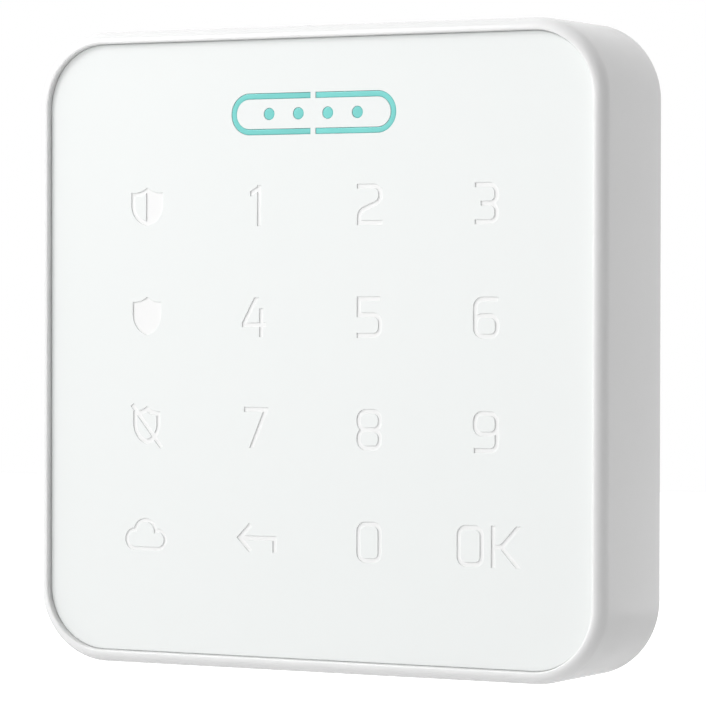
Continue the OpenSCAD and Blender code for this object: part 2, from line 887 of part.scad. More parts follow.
module battery_bay() {
    inside = [2 * bay_half_w, bay_top - bay_bottom];
    outside = inside + 2 * [bay_wall, bay_wall];
    bay_y = (bay_top + bay_bottom) / 2;
    difference() {
        layer(cover_front - 0.5, bay_floor + bay_floor_t - cover_front + 0.5) round_rect([0, bay_y], outside, 1.5);
        layer(cover_back, bay_floor - cover_back) round_rect([0, bay_y], inside, 0.4);
    }
    for (x = [-12, 12]) translate([x, 0, 0]) cell_saddle();
}

// Upstand round the edge that centres the cover in the case
module cover_lip() {
    lip_half = inner_half - cover_gap;
    lip_corner_r = inner_corner_r - cover_gap;
    layer(cover_front - 0.5, lip_h + 0.5) difference() {
        round_square(lip_half, lip_corner_r);
        round_square(lip_half - lip_t, lip_corner_r - lip_t);
    }
}

// Low ribs that keep the lower half of the cover stiff
module cover_ribs() {
    low = -inner_half + cover_gap + lip_t / 2;
    high = bay_bottom - bay_wall / 2;
    for (x = [-rib_x, rib_x])
        block([x, (low + high) / 2], [rib_t, high - low, rib_h + 0.5], cover_front - 0.5);
    block([0, rib_y], [2 * rib_x, rib_t, rib_h + 0.5], cover_front - 0.5);
}

module rear_cover() color("#dcdedd") upright() {
    bay_y = (bay_top + bay_bottom) / 2;
    difference() {
        union() {
            layer(cover_back, cover_t) difference() {
                round_square(inner_half - cover_gap, inner_corner_r - cover_gap);
                round_rect([0, bay_y], [2 * bay_half_w, bay_top - bay_bottom], 0.4);
                cover_openings();
            }
            battery_bay();
            cover_lip();
            cover_ribs();
            for (p = standoffs) translate([p[0], p[1], cover_front - 0.5])
                cylinder(h = main_board_back - cover_front + 0.5, r = standoff_r);
        }
        for (p = standoffs) translate([p[0], p[1], cover_front])
            cylinder(h = main_board_back, r = board_screw_pilot_r);
        corners(boss_at, boss_at) translate([0, 0, cover_back - over])
            cylinder(h = case_screw_head_h + 0.1 + over, r = case_screw_head_r + 0.2);
        layer(cover_back - over, 0.2 + over)
            round_rect(label_at, label_size + [0.4, 0.4], label_corner_r + 0.2);
    }
}

module blank_label() color("#f6f6f4") upright()
    layer(cover_back + 0.05, 0.15) round_rect(label_at, label_size, label_corner_r);

// ---------- cells and contacts ----------

// Every other cell is turned round, so the rows alternate
module each_cell() {
    for (i = [0:3]) translate([0, cell_rows[i], cell_level]) rotate(i % 2 == 0 ? 0 : 180) children();
}

module battery_cells() color("#3f6f8f") upright() each_cell() rotate([0, 90, 0]) {
    shoulder = 0.6;
    body_l = cell_l - cell_button_l;
    translate([0, 0, cell_back_end]) cylinder(h = shoulder, r1 = cell_r - shoulder, r2 = cell_r);
    translate([0, 0, cell_back_end + shoulder]) cylinder(h = body_l - 2 * shoulder, r = cell_r);
    translate([0, 0, cell_back_end + body_l - shoulder]) cylinder(h = shoulder, r1 = cell_r, r2 = cell_r - shoulder);
    translate([0, 0, cell_back_end + body_l - 0.1]) cylinder(h = cell_button_l + 0.1, r = cell_button_r);
}

module contact_springs() color("#c4c8c9") upright() each_cell() {
    spring_wire = 0.6;
    reach = cell_back_end + bay_half_w - contact_t - spring_wire - 0.04;
    translate([-bay_half_w + contact_t + spring_wire / 2 + 0.02, 0, 0])
        rotate([0, 90, 0]) coil(3, 3.4, 2, reach, spring_wire);
}

module contact_plate(side, first, last) {
    plate_half_w = 4.2;
    low = cell_rows[first] - plate_half_w;
    high = cell_rows[last] + plate_half_w;
    translate([side * (bay_half_w - contact_t / 2), (low + high) / 2, cell_level])
        cube([contact_t, high - low, 2 * plate_half_w], center = true);
}

module contact_plates() color("#cbcfd0") upright() {
    for (i = [0, 2]) contact_plate(1, i, i + 1);
    contact_plate(-1, 0, 0);
    contact_plate(-1, 1, 2);
    contact_plate(-1, 3, 3);
    each_cell() translate([bay_half_w - contact_t - contact_button, 0, 0])
        rotate([0, 90, 0]) cylinder(h = contact_button + 0.1, r1 = 1.5, r2 = 2.4);
}

// ---------- screws ----------

module screw(shank_r, shank_l, head_r, head_h) {
    difference() {
        union() {
            cylinder(h = head_h, r = head_r);
            cylinder(h = head_h + shank_l, r = shank_r);
        }
        for (turn = [0, 90]) rotate(turn) block([0, 0], [head_r * 1.2, 0.6, head_h * 0.6 + over], -over);
    }
}

module case_screws() color("#9a9fa2") upright() corners(boss_at, boss_at)
    translate([0, 0, cover_back + 0.1])
        screw(case_screw_r, case_screw_l - 0.8, case_screw_head_r, case_screw_head_h);

module board_screws() color("#9a9fa2") upright() for (p = standoffs)
    translate([p[0], p[1], main_board_front + 1.4]) rotate([180, 0, 0])
        screw(board_screw_r, 6, board_screw_head_r, 1.4);

wall_bracket();
rear_cover();
front_case();
touch_panel();
status_light();
panel_gasket();
light_guide();
light_frame();
touch_board();
key_leds();
status_leds();
board_header();
board_socket();
main_board();
controller_chip();
radio_module();
antenna();
crystal();
buzzer();
buffer_capacitor();
tamper_switch();
tamper_plunger();
tamper_spring();
power_switch();
power_slider();
battery_cells();
contact_springs();
contact_plates();
case_screws();
board_screws();
blank_label();
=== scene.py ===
# %% [markdown]
# # A wall keypad with a touch panel
#
# The object is a slim white box that hangs on a wall bracket. Its front is one glossy panel with shallow
# engraved keys and a turquoise status light. This lesson loads the engineering model as a fixed frame, sets
# up a small studio, then gives each piece a finer mesh or a better finish than the engineering model has.
# Everything is in metres, with +Z up, the wall at y = 0 and the panel facing -Y.

# %% Load the frame
import json
import math

import bmesh
import bpy
from mathutils import Matrix, Vector


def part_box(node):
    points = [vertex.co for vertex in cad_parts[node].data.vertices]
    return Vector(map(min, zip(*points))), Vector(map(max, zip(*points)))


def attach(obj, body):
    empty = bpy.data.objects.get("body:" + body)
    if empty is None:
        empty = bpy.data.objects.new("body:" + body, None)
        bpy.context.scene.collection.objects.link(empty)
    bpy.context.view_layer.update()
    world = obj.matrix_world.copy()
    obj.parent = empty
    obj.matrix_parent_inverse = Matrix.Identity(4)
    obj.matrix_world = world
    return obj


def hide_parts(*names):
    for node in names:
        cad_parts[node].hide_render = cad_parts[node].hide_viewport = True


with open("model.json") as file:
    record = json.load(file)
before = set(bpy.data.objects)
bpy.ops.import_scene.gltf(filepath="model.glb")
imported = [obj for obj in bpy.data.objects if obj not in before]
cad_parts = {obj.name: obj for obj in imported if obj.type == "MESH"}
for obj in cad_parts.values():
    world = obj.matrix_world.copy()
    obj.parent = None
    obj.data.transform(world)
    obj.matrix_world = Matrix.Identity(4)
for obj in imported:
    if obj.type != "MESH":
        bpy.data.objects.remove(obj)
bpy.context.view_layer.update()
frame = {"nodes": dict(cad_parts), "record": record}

MM = 0.001
nodes = frame["nodes"]
scene = bpy.context.scene

# %% [markdown]
# ## Measure the frame
#
# A fitted piece takes its sizes from the frame, so it goes where the engineering model says. The parts stack
# up from the wall, so depth is given as a level: the distance from the wall.

# %% Sizes that the frame gives, in millimetres
def span(node):
    """Lowest and highest x, z and level of a node, in millimetres."""
    low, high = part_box(node)
    return {
        "x": (low.x / MM, high.x / MM),
        "z": (low.z / MM, high.z / MM),
        "level": (-high.y / MM, -low.y / MM),
    }


case = span("front_case")
panel = span("touch_panel")
light = span("status_light")
CASE_HALF = case["x"][1]
CASE_BACK, CASE_FRONT = case["level"]
PANEL_HALF = panel["x"][1]
PANEL_BACK, PANEL_FRONT = panel["level"]
LIGHT_BACK, LIGHT_FRONT = light["level"]
print(f"case half {CASE_HALF:.2f}, levels {CASE_BACK:.2f} to {CASE_FRONT:.2f} mm")
print(f"panel half {PANEL_HALF:.2f}, levels {PANEL_BACK:.2f} to {PANEL_FRONT:.2f} mm")

# %% [markdown]
# ## The camera
#
# A long lens far away keeps the upright edges parallel, as in a product picture. The camera stands to the
# right of the keypad and a touch above its middle, and turns back to look at it.

# %% Camera
CAMERA_YAW = math.radians(28.766)
CAMERA_PITCH = math.radians(0.847)
CAMERA_ROLL = 0.00188
CAMERA_DISTANCE = 0.60358
CAMERA_TARGET = Vector((7.679, -CASE_FRONT, -0.517)) * MM
LENS_LENGTH = 201.04
SENSOR_WIDTH = 36

back = Vector((
    math.sin(CAMERA_YAW) * math.cos(CAMERA_PITCH),
    -math.cos(CAMERA_YAW) * math.cos(CAMERA_PITCH),
    math.sin(CAMERA_PITCH),
))
right = Vector((0, 0, 1)).cross(back).normalized()
up = back.cross(right)
turned_right = right * math.cos(CAMERA_ROLL) + up * math.sin(CAMERA_ROLL)
turned_up = up * math.cos(CAMERA_ROLL) - right * math.sin(CAMERA_ROLL)

lens = bpy.data.cameras.new("camera")
lens.sensor_width = SENSOR_WIDTH
lens.lens = LENS_LENGTH
lens.clip_start = 0.01
camera = bpy.data.objects.new("camera", lens)
place = Matrix((turned_right, turned_up, back)).transposed().to_4x4()
place.translation = CAMERA_TARGET + back * CAMERA_DISTANCE
camera.matrix_world = place
scene.collection.objects.link(camera)
scene.camera = camera
print("camera at", [round(v, 3) for v in place.translation])

# %% [markdown]
# ## The studio
#
# White plastic shows its shape by what it reflects and by how the light falls off round its edges. So the
# studio is bright all round, brightest in front of the panel, except for one soft grey screen on the right
# that darkens the side wall. The sky makes both from the angle between its direction and their middles.

# %% Sky
SCREEN_AZIMUTH = math.radians(65)
SCREEN_CORE = math.radians(34)
SCREEN_EDGE = math.radians(80)
SCREEN_SHADE = 0.02
FRONT_AZIMUTH = math.radians(-10)
FRONT_CORE = math.radians(10)
FRONT_EDGE = math.radians(75)
FRONT_STRENGTH = 1.38


def sky_patch(tree, azimuth, core, edge, strength):
    """A factor that is strength at one direction and eases to 1 away from it."""
    direction = tree.nodes.new("ShaderNodeTexCoord")
    facing = tree.nodes.new("ShaderNodeVectorMath")
    facing.operation = "DOT_PRODUCT"
    facing.inputs[1].default_value = (math.sin(azimuth), -math.cos(azimuth), 0)
    angle = tree.nodes.new("ShaderNodeMath")
    angle.operation = "ARCCOSINE"
    ease = tree.nodes.new("ShaderNodeMapRange")
    ease.interpolation_type = "SMOOTHSTEP"
    ease.inputs["From Min"].default_value = core
    ease.inputs["From Max"].default_value = edge
    ease.inputs["To Min"].default_value = strength
    ease.inputs["To Max"].default_value = 1.0
    tree.links.new(direction.outputs["Generated"], facing.inputs[0])
    tree.links.new(facing.outputs["Value"], angle.inputs[0])
    tree.links.new(angle.outputs[0], ease.inputs["Value"])
    return ease.outputs["Result"]


def build_sky():
    """White sky with a soft dark screen on the right and a soft bright area in front."""
    world = bpy.data.worlds.new("studio")
    scene.world = world
    world.use_nodes = True
    tree = world.node_tree
    tree.nodes.clear()
    both = tree.nodes.new("ShaderNodeMath")
    both.operation = "MULTIPLY"
    screen = sky_patch(tree, SCREEN_AZIMUTH, SCREEN_CORE, SCREEN_EDGE, SCREEN_SHADE)
    front = sky_patch(tree, FRONT_AZIMUTH, FRONT_CORE, FRONT_EDGE, FRONT_STRENGTH)
    tree.links.new(screen, both.inputs[0])
    tree.links.new(front, both.inputs[1])
    background = tree.nodes.new("ShaderNodeBackground")
    background.inputs["Color"].default_value = (1, 1, 1, 1)
    output = tree.nodes.new("ShaderNodeOutputWorld")
    tree.links.new(both.outputs[0], background.inputs["Strength"])
    tree.links.new(background.outputs[0], output.inputs["Surface"])


build_sky()
scene.view_settings.view_transform = "Standard"
print("sky ready")

# %% Floor and lamp
FLOOR_DROP = 0.35
FLOOR_HALF = 6.0
LAMP_PLACE = (-0.32, -0.38, 0.32)
LAMP_SIZE = 0.22
LAMP_POWER = 1.3

floor_mesh = bpy.data.meshes.new("floor")
floor_mesh.from_pydata(
    [(x * FLOOR_HALF, y * FLOOR_HALF, -FLOOR_DROP) for x, y in ((-1, -1), (1, -1), (1, 1), (-1, 1))],
    [],
    [(0, 1, 2, 3)],
)
floor = bpy.data.objects.new("floor", floor_mesh)
scene.collection.objects.link(floor)


def soft_lamp(name, where, size, power):
    """A square lamp that looks at the middle of the keypad."""
    lamp = bpy.data.lights.new(name, "AREA")
    lamp.shape = "SQUARE"
    lamp.size = size
    lamp.energy = power
    holder = bpy.data.objects.new(name, lamp)
    holder.location = where
    holder.rotation_euler = Vector(where).to_track_quat("Z", "Y").to_euler()
    scene.collection.objects.link(holder)


soft_lamp("lamp_front_left", LAMP_PLACE, LAMP_SIZE, LAMP_POWER)
print("lamp ready")

# %% [markdown]
# ## Shared finishes
#
# Moulded plastic is never one flat colour. The tool leaves a fine grain, the colour drifts a little as the
# melt flows, and hands polish it here and there. One shader group gives all three, and each material uses it
# with its own values. A second group gives the hairlines of a surface that is handled often.

# %% Node helpers
def new_group(name, inputs, outputs):
    """An empty shader group with float inputs, given as name: default, and named float outputs."""
    group = bpy.data.node_groups.new(name, "ShaderNodeTree")
    for key, value in inputs.items():
        socket = group.interface.new_socket(key, in_out="INPUT", socket_type="NodeSocketFloat")
        socket.default_value = value
    for key in outputs:
        group.interface.new_socket(key, in_out="OUTPUT", socket_type="NodeSocketFloat")
    return group, group.nodes.new("NodeGroupInput"), group.nodes.new("NodeGroupOutput")


def feed(tree, value, socket):
    """Gives a socket a number, or a link from another socket."""
    if isinstance(value, (int, float)):
        socket.default_value = value
    else:
        tree.links.new(value, socket)


def math_node(tree, operation, a, b=0.0):
    node = tree.nodes.new("ShaderNodeMath")
    node.operation = operation
    feed(tree, a, node.inputs[0])
    feed(tree, b, node.inputs[1])
    return node.outputs[0]


def object_coordinates(tree, turn=(0, 0, 0), stretch=(1, 1, 1)):
    """The piece's own coordinates, turned and stretched."""
    where = tree.nodes.new("ShaderNodeTexCoord")
    mapping = tree.nodes.new("ShaderNodeMapping")
    mapping.inputs["Rotation"].default_value = turn
    mapping.inputs["Scale"].default_value = stretch
    tree.links.new(where.outputs["Object"], mapping.inputs["Vector"])
    return mapping.outputs["Vector"]


def noise_node(tree, where, scale, detail=2.0, roughness=0.5):
    """Noise with about scale waves in a metre."""
    node = tree.nodes.new("ShaderNodeTexNoise")
    tree.links.new(where, node.inputs["Vector"])
    feed(tree, scale, node.inputs["Scale"])
    node.inputs["Detail"].default_value = detail
    node.inputs["Roughness"].default_value = roughness
    return node.outputs["Fac"]


def spread(tree, mask, low, high, mask_low=0.3, mask_high=0.7):
    """Stretches a mask to run from low to high."""
    node = tree.nodes.new("ShaderNodeMapRange")
    tree.links.new(mask, node.inputs["Value"])
    node.inputs["From Min"].default_value = mask_low
    node.inputs["From Max"].default_value = mask_high
    feed(tree, low, node.inputs["To Min"])
    feed(tree, high, node.inputs["To Max"])
    return node.outputs["Result"]


# %% Moulded surface group
def build_moulded_surface():
    """Fine tool grain as a height, a slow colour drift and a slow change of gloss."""
    group, given, result = new_group(
        "moulded_surface",
        {"Grain Scale": 9000.0, "Drift Scale": 30.0, "Polish Scale": 90.0},
        ["Height", "Drift", "Polish"],
    )
    where = object_coordinates(group)
    for scale, detail, roughness, use in (
        ("Grain Scale", 3.0, 0.6, "Height"),
        ("Drift Scale", 2.0, 0.45, "Drift"),
        ("Polish Scale", 4.0, 0.55, "Polish"),
    ):
        noise = noise_node(group, where, given.outputs[scale], detail, roughness)
        group.links.new(noise, result.inputs[use])
    return group


moulded_surface = build_moulded_surface()


# %% Fine scratches group
SCRATCH_TURNS = (0.35, 1.95)
SCRATCH_STRETCH = (1.0, 60.0, 1.0)
SCRATCH_LEVEL = 0.62


def build_fine_scratches():
    """Faint crossed hairlines, from two noises that are stretched across each other."""
    group, given, result = new_group("fine_scratches", {"Scale": 60.0, "Amount": 0.5}, ["Mask"])
    masks = []
    for turn in SCRATCH_TURNS:
        where = object_coordinates(group, (turn, turn * 0.7, turn * 1.3), SCRATCH_STRETCH)
        lines = noise_node(group, where, given.outputs["Scale"], 3.0)
        masks.append(math_node(group, "MAXIMUM", math_node(group, "SUBTRACT", lines, SCRATCH_LEVEL), 0.0))
    both = math_node(group, "ADD", masks[0], masks[1])
    group.links.new(math_node(group, "MULTIPLY", both, given.outputs["Amount"]), result.inputs["Mask"])
    return group


fine_scratches = build_fine_scratches()
print("groups:", [g.name for g in bpy.data.node_groups])


# %% Material helpers
def place_group(tree, group, **values):
    """Puts a shader group into a material. A value's name is the input's, with _ for each space."""
    node = tree.nodes.new("ShaderNodeGroup")
    node.node_tree = group
    for key, value in values.items():
        node.inputs[key.replace("_", " ")].default_value = value
    return node


def blend_colours(tree, mask, low, high):
    """Mixes two colours by a mask. Each is a colour or another socket."""
    mix = tree.nodes.new("ShaderNodeMix")
    mix.data_type = "RGBA"
    tree.links.new(mask, mix.inputs["Factor"])
    for socket, colour in ((mix.inputs[6], low), (mix.inputs[7], high)):
        if isinstance(colour, tuple):
            socket.default_value = (*colour, 1)
        else:
            tree.links.new(colour, socket)
    return mix.outputs[2]


def add_bump(tree, shader, height, strength, depth):
    relief = tree.nodes.new("ShaderNodeBump")
    relief.inputs["Strength"].default_value = strength
    relief.inputs["Distance"].default_value = depth
    tree.links.new(height, relief.inputs["Height"])
    tree.links.new(relief.outputs["Normal"], shader.inputs["Normal"])


GRAIN_DEPTH = 0.02 * MM
COAT_ROUGHNESS = 0.04


def plastic(name, low, high, gloss, grain=9000.0, bump=0.05, scratches=0.0, coat=0.0, metal=0.0):
    """A moulded or formed surface. low and high are two nearly equal colours, gloss two roughness values."""
    material = bpy.data.materials.new(name)
    material.use_nodes = True
    tree = material.node_tree
    shader = tree.nodes["Principled BSDF"]
    surface = place_group(tree, moulded_surface, Grain_Scale=grain)
    colour = blend_colours(tree, surface.outputs["Drift"], low, high)
    rough = spread(tree, surface.outputs["Polish"], gloss[0], gloss[1])
    if scratches:
        marks = place_group(tree, fine_scratches, Amount=scratches)
        rough = math_node(tree, "ADD", rough, marks.outputs["Mask"])
    tree.links.new(colour, shader.inputs["Base Color"])
    tree.links.new(rough, shader.inputs["Roughness"])
    add_bump(tree, shader, surface.outputs["Height"], bump, GRAIN_DEPTH)
    shader.inputs["Metallic"].default_value = metal
    shader.inputs["Coat Weight"].default_value = coat
    shader.inputs["Coat Roughness"].default_value = COAT_ROUGHNESS
    return material


def wear(piece, *materials):
    """Puts the materials on the object's own slots. A mesh with too few slots gets empty ones."""
    while len(piece.material_slots) < len(materials):
        piece.data.materials.append(None)
    for slot, material in zip(piece.material_slots, materials):
        slot.link = "OBJECT"
        slot.material = material


# %% [markdown]
# ## White plastics
#
# The case is satin white ABS, quite smooth, and light goes a little way into it. The panel is polished
# acrylic with a faint green cast, and sharper in its reflections. The bracket and the rear cover come from
# plainer tools with a spark-eroded grain. The floor is pale paint that glows more with distance, so its far
# edge melts into the white sky.

# %% Case, bracket, cover and frame plastics
CASE_SOAK = 0.85
CASE_SOAK_DEPTH = 1.2 * MM

case_white = plastic("case_white", (0.78, 0.78, 0.78), (0.80, 0.80, 0.80), (0.19, 0.26), bump=0.04)
case_shader = case_white.node_tree.nodes["Principled BSDF"]
case_shader.inputs["Subsurface Weight"].default_value = CASE_SOAK
case_shader.inputs["Subsurface Radius"].default_value = (1.0, 1.0, 1.0)
case_shader.inputs["Subsurface Scale"].default_value = CASE_SOAK_DEPTH
bracket_white = plastic("bracket_white", (0.74, 0.75, 0.745), (0.78, 0.785, 0.78), (0.42, 0.55), 5200.0, 0.5)
rear_white = plastic("rear_white", (0.70, 0.71, 0.705), (0.73, 0.735, 0.73), (0.4, 0.52), 5200.0, 0.45)
frame_white = plastic("frame_white", (0.86, 0.86, 0.84), (0.9, 0.9, 0.88), (0.5, 0.6), 7000.0, 0.2)

# %% Panel plastics
panel_gloss = plastic(
    "panel_gloss", (0.822, 0.845, 0.837), (0.834, 0.853, 0.845), (0.06, 0.11), bump=0.015, coat=0.3
)
legend_white = plastic("legend_white", (0.87, 0.872, 0.87), (0.89, 0.89, 0.886), (0.5, 0.62), 12000.0, 0.2)


# %% Floor paint
FLOOR_GLOW_REACH = 0.6
FLOOR_GLOW_NEAR = 1.2
FLOOR_GLOW_FAR = 2.4


def build_floor_paint():
    """Pale paint whose glow grows with the distance from the middle."""
    material = plastic("floor_paint", (0.78, 0.78, 0.78), (0.81, 0.81, 0.81), (0.7, 0.8), 400.0, 0.1)
    tree = material.node_tree
    shader = tree.nodes["Principled BSDF"]
    where = tree.nodes.new("ShaderNodeTexCoord")
    distance = tree.nodes.new("ShaderNodeVectorMath")
    distance.operation = "LENGTH"
    tree.links.new(where.outputs["Object"], distance.inputs[0])
    glow = spread(
        tree, distance.outputs["Value"], 0.0, FLOOR_GLOW_REACH, FLOOR_GLOW_NEAR, FLOOR_GLOW_FAR
    )
    shader.inputs["Emission Color"].default_value = (1, 1, 1, 1)
    tree.links.new(glow, shader.inputs["Emission Strength"])
    return material


wear(floor, build_floor_paint())
print("white plastics ready")

# %% [markdown]
# ## Mesh helpers
#
# Most parts here are a stack of closed outlines joined by walls, with a cap at each end. The outlines are
# drawn on the wall, with x to the right and z up, and each is placed at its level.

# %% Outlines and lofts
SAME_POINT = 0.0005
SLIVER = 0.0002


def on_wall(x, z, level):
    """A point in metres from millimetres on the wall and a level."""
    return Vector((x, -level, z)) * MM


def rounded_square(half, corner_r, segments=24):
    """Counter-clockwise points of a square with round corners."""
    points = []
    for corner in range(4):
        turn = math.pi / 2 * corner
        centre = Vector((half - corner_r, half - corner_r))
        for i in range(segments + 1):
            angle = math.pi / 2 * i / segments
            at = centre + Vector((math.cos(angle), math.sin(angle))) * corner_r
            points.append(Vector((
                at.x * math.cos(turn) - at.y * math.sin(turn),
                at.x * math.sin(turn) + at.y * math.cos(turn),
            )))
    return points


def close_rings(bm, rings):
    """Joins equal rings of vertices into one closed solid, with a cap at each end."""
    bm.faces.new(rings[0])
    bm.faces.new(rings[-1])
    for near, far in zip(rings, rings[1:]):
        for i in range(len(near)):
            j = (i + 1) % len(near)
            bm.faces.new((near[i], near[j], far[j], far[i]))


def shade_by_angle(bm, sharp_angle):
    """Turns normals outward and shades smoothly, but for edges sharper than an angle."""
    bmesh.ops.recalc_face_normals(bm, faces=bm.faces)
    limit = math.radians(sharp_angle)
    for edge in bm.edges:
        if len(edge.link_faces) == 2:
            edge.smooth = edge.calc_face_angle(0.0) < limit
    for face in bm.faces:
        face.smooth = True


def merge_points(bm, distance):
    """Merges points that lie together, and removes the slivers that this leaves."""
    bmesh.ops.remove_doubles(bm, verts=bm.verts, dist=distance * MM)
    bmesh.ops.dissolve_degenerate(bm, edges=bm.edges, dist=SLIVER * MM)


def count_open_edges(bm):
    return sum(1 for edge in bm.edges if len(edge.link_faces) != 2)


def finish_mesh(bm, name, sharp_angle=30):
    """Turns a bmesh into an object with outward normals, smooth but for edges sharper than an angle."""
    shade_by_angle(bm, sharp_angle)
    mesh = bpy.data.meshes.new(name)
    bm.to_mesh(mesh)
    bm.free()
    piece = bpy.data.objects.new(name, mesh)
    scene.collection.objects.link(piece)
    return piece


def ride_for(piece, body, slot, *replaced):
    """Puts a piece on its body and hides the engineering nodes that it stands for. The slot argument is not
    used.
    """
    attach(piece, body)
    if replaced:
        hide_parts(*replaced)
    print(f"{piece.name}: {len(piece.data.polygons)} faces on {body}")


# %% [markdown]
# ## Geometry Nodes helpers
#
# A tree takes named values, builds its mesh, and ends in Realize Instances and Set Material. The result is
# then turned into a plain mesh, so that each piece is a normal object.

# %% Tree helpers
def new_tree(name, inputs):
    """An empty geometry tree. inputs gives name: (socket type, default)."""
    tree = bpy.data.node_groups.new(name, "GeometryNodeTree")
    tree.interface.new_socket("Geometry", in_out="OUTPUT", socket_type="NodeSocketGeometry")
    for key, (kind, default) in inputs.items():
        socket = tree.interface.new_socket(key, in_out="INPUT", socket_type=kind)
        if default is not None:
            socket.default_value = default
    return tree, tree.nodes.new("NodeGroupInput"), tree.nodes.new("NodeGroupOutput")


def geo_node(tree, kind, links=None, **settings):
    """A node with some inputs linked or set. A link's name is the input's."""
    node = tree.nodes.new(kind)
    for key, value in settings.items():
        setattr(node, key, value)
    for key, value in (links or {}).items():
        socket = node.inputs[key]
        if isinstance(value, bpy.types.NodeSocket):
            tree.links.new(value, socket)
        else:
            socket.default_value = value
    return node


def finish_tree(tree, given, result, geometry):
    """The end of every tree: real geometry, with the material that Finish names."""
    real = geo_node(tree, "GeometryNodeRealizeInstances", {"Geometry": geometry})
    finish = geo_node(
        tree, "GeometryNodeSetMaterial", {"Geometry": real.outputs[0], "Material": given.outputs["Finish"]}
    )
    tree.links.new(finish.outputs[0], result.inputs[0])
    return tree


def run_tree(name, tree, values):
    """Runs a tree on an empty mesh and returns its result as a plain mesh object."""
    holder = bpy.data.objects.new(name + "_holder", bpy.data.meshes.new(name + "_holder"))
    scene.collection.objects.link(holder)
    modifier = holder.modifiers.new("tree", "NODES")
    modifier.node_group = tree
    for item in tree.interface.items_tree:
        if item.item_type == "SOCKET" and item.in_out == "INPUT" and item.name in values:
            modifier[item.identifier] = values[item.name]
    holder.update_tag()
    graph = bpy.context.evaluated_depsgraph_get()
    graph.update()
    mesh = bpy.data.meshes.new_from_object(holder.evaluated_get(graph))
    mesh.name = name
    holder.modifiers.clear()
    bpy.data.objects.remove(holder)
    piece = bpy.data.objects.new(name, mesh)
    scene.collection.objects.link(piece)
    return piece


def profile_curve(name, points, closed):
    """A poly curve in the XY plane, in metres, that a tree reads through Object Info."""
    curve = bpy.data.curves.new(name, "CURVE")
    curve.dimensions = "3D"
    spline = curve.splines.new("POLY")
    spline.points.add(len(points) - 1)
    for point, (x, y) in zip(spline.points, points):
        point.co = (x * MM, y * MM, 0, 1)
    spline.use_cyclic_u = closed
    holder = bpy.data.objects.new(name, curve)
    scene.collection.objects.link(holder)
    return holder


def tidy_piece(piece, sharp_angle=30, merge=SAME_POINT):
    """Merges doubles, turns normals outward and marks sharp edges on a tree's result."""
    bm = bmesh.new()
    bm.from_mesh(piece.data)
    merge_points(bm, merge)
    shade_by_angle(bm, sharp_angle)
    open_edges = count_open_edges(bm)
    bm.to_mesh(piece.data)
    bm.free()
    print(f"{piece.name}: {open_edges} open edges")


def arc(centre, radius, start, end, steps):
    """Points on an arc, given in degrees."""
    angles = [math.radians(start + (end - start) * i / steps) for i in range(steps + 1)]
    return [(centre[0] + radius * math.cos(a), centre[1] + radius * math.sin(a)) for a in angles]


# %% [markdown]
# ## Front case
#
# The case is a moulded tub without a floor: one wall section goes round a square with round corners. The
# section has an elliptical round at the front of the rim, deeper than it is wide, a small break on its inner
# edge, the ledge that carries the panel and a small round where it meets the wall. Sweeping one section along
# one path is how a drawing would describe the form, so a tree does just that. Inside, four bosses take the
# screws.

# %% Case section, with x measured inwards from the outer face and y the level
CASE_CORNER_R = 12.0
CASE_WALL = 2.0
RIM_ACROSS = 1.74
RIM_DEEP = 2.4
RIM_BREAK = 0.16
CASE_LIP_R = 0.4
LEDGE_T = 1.4
LEDGE_GAP = 0.5
DRAFT_END = 0.1
gasket = span("panel_gasket")
insert = span("light_frame")
LEDGE_FRONT = gasket["level"][0]
LEDGE_BACK = LEDGE_FRONT - LEDGE_T
LEDGE_INNER = CASE_HALF - (insert["x"][1] + LEDGE_GAP)

case_section = (
    arc((CASE_LIP_R, CASE_BACK + CASE_LIP_R), CASE_LIP_R, 270, 180, 5)
    + [
        (RIM_ACROSS * (1 - x), CASE_FRONT - RIM_DEEP * (1 - y))
        for x, y in arc((0, 0), 1.0, 0, 90, 16)
    ]
    + arc((RIM_ACROSS, CASE_FRONT - RIM_BREAK), RIM_BREAK, 90, 0, 4)[1:]
    + [
        (CASE_WALL, PANEL_FRONT - DRAFT_END),
        (CASE_WALL, LEDGE_FRONT),
        (LEDGE_INNER, LEDGE_FRONT),
        (LEDGE_INNER, LEDGE_BACK),
        (CASE_WALL, LEDGE_BACK),
        (CASE_WALL, CASE_BACK),
    ]
)
print(f"section: {len(case_section)} points, ledge {LEDGE_BACK:.2f} to {LEDGE_FRONT:.2f} mm")


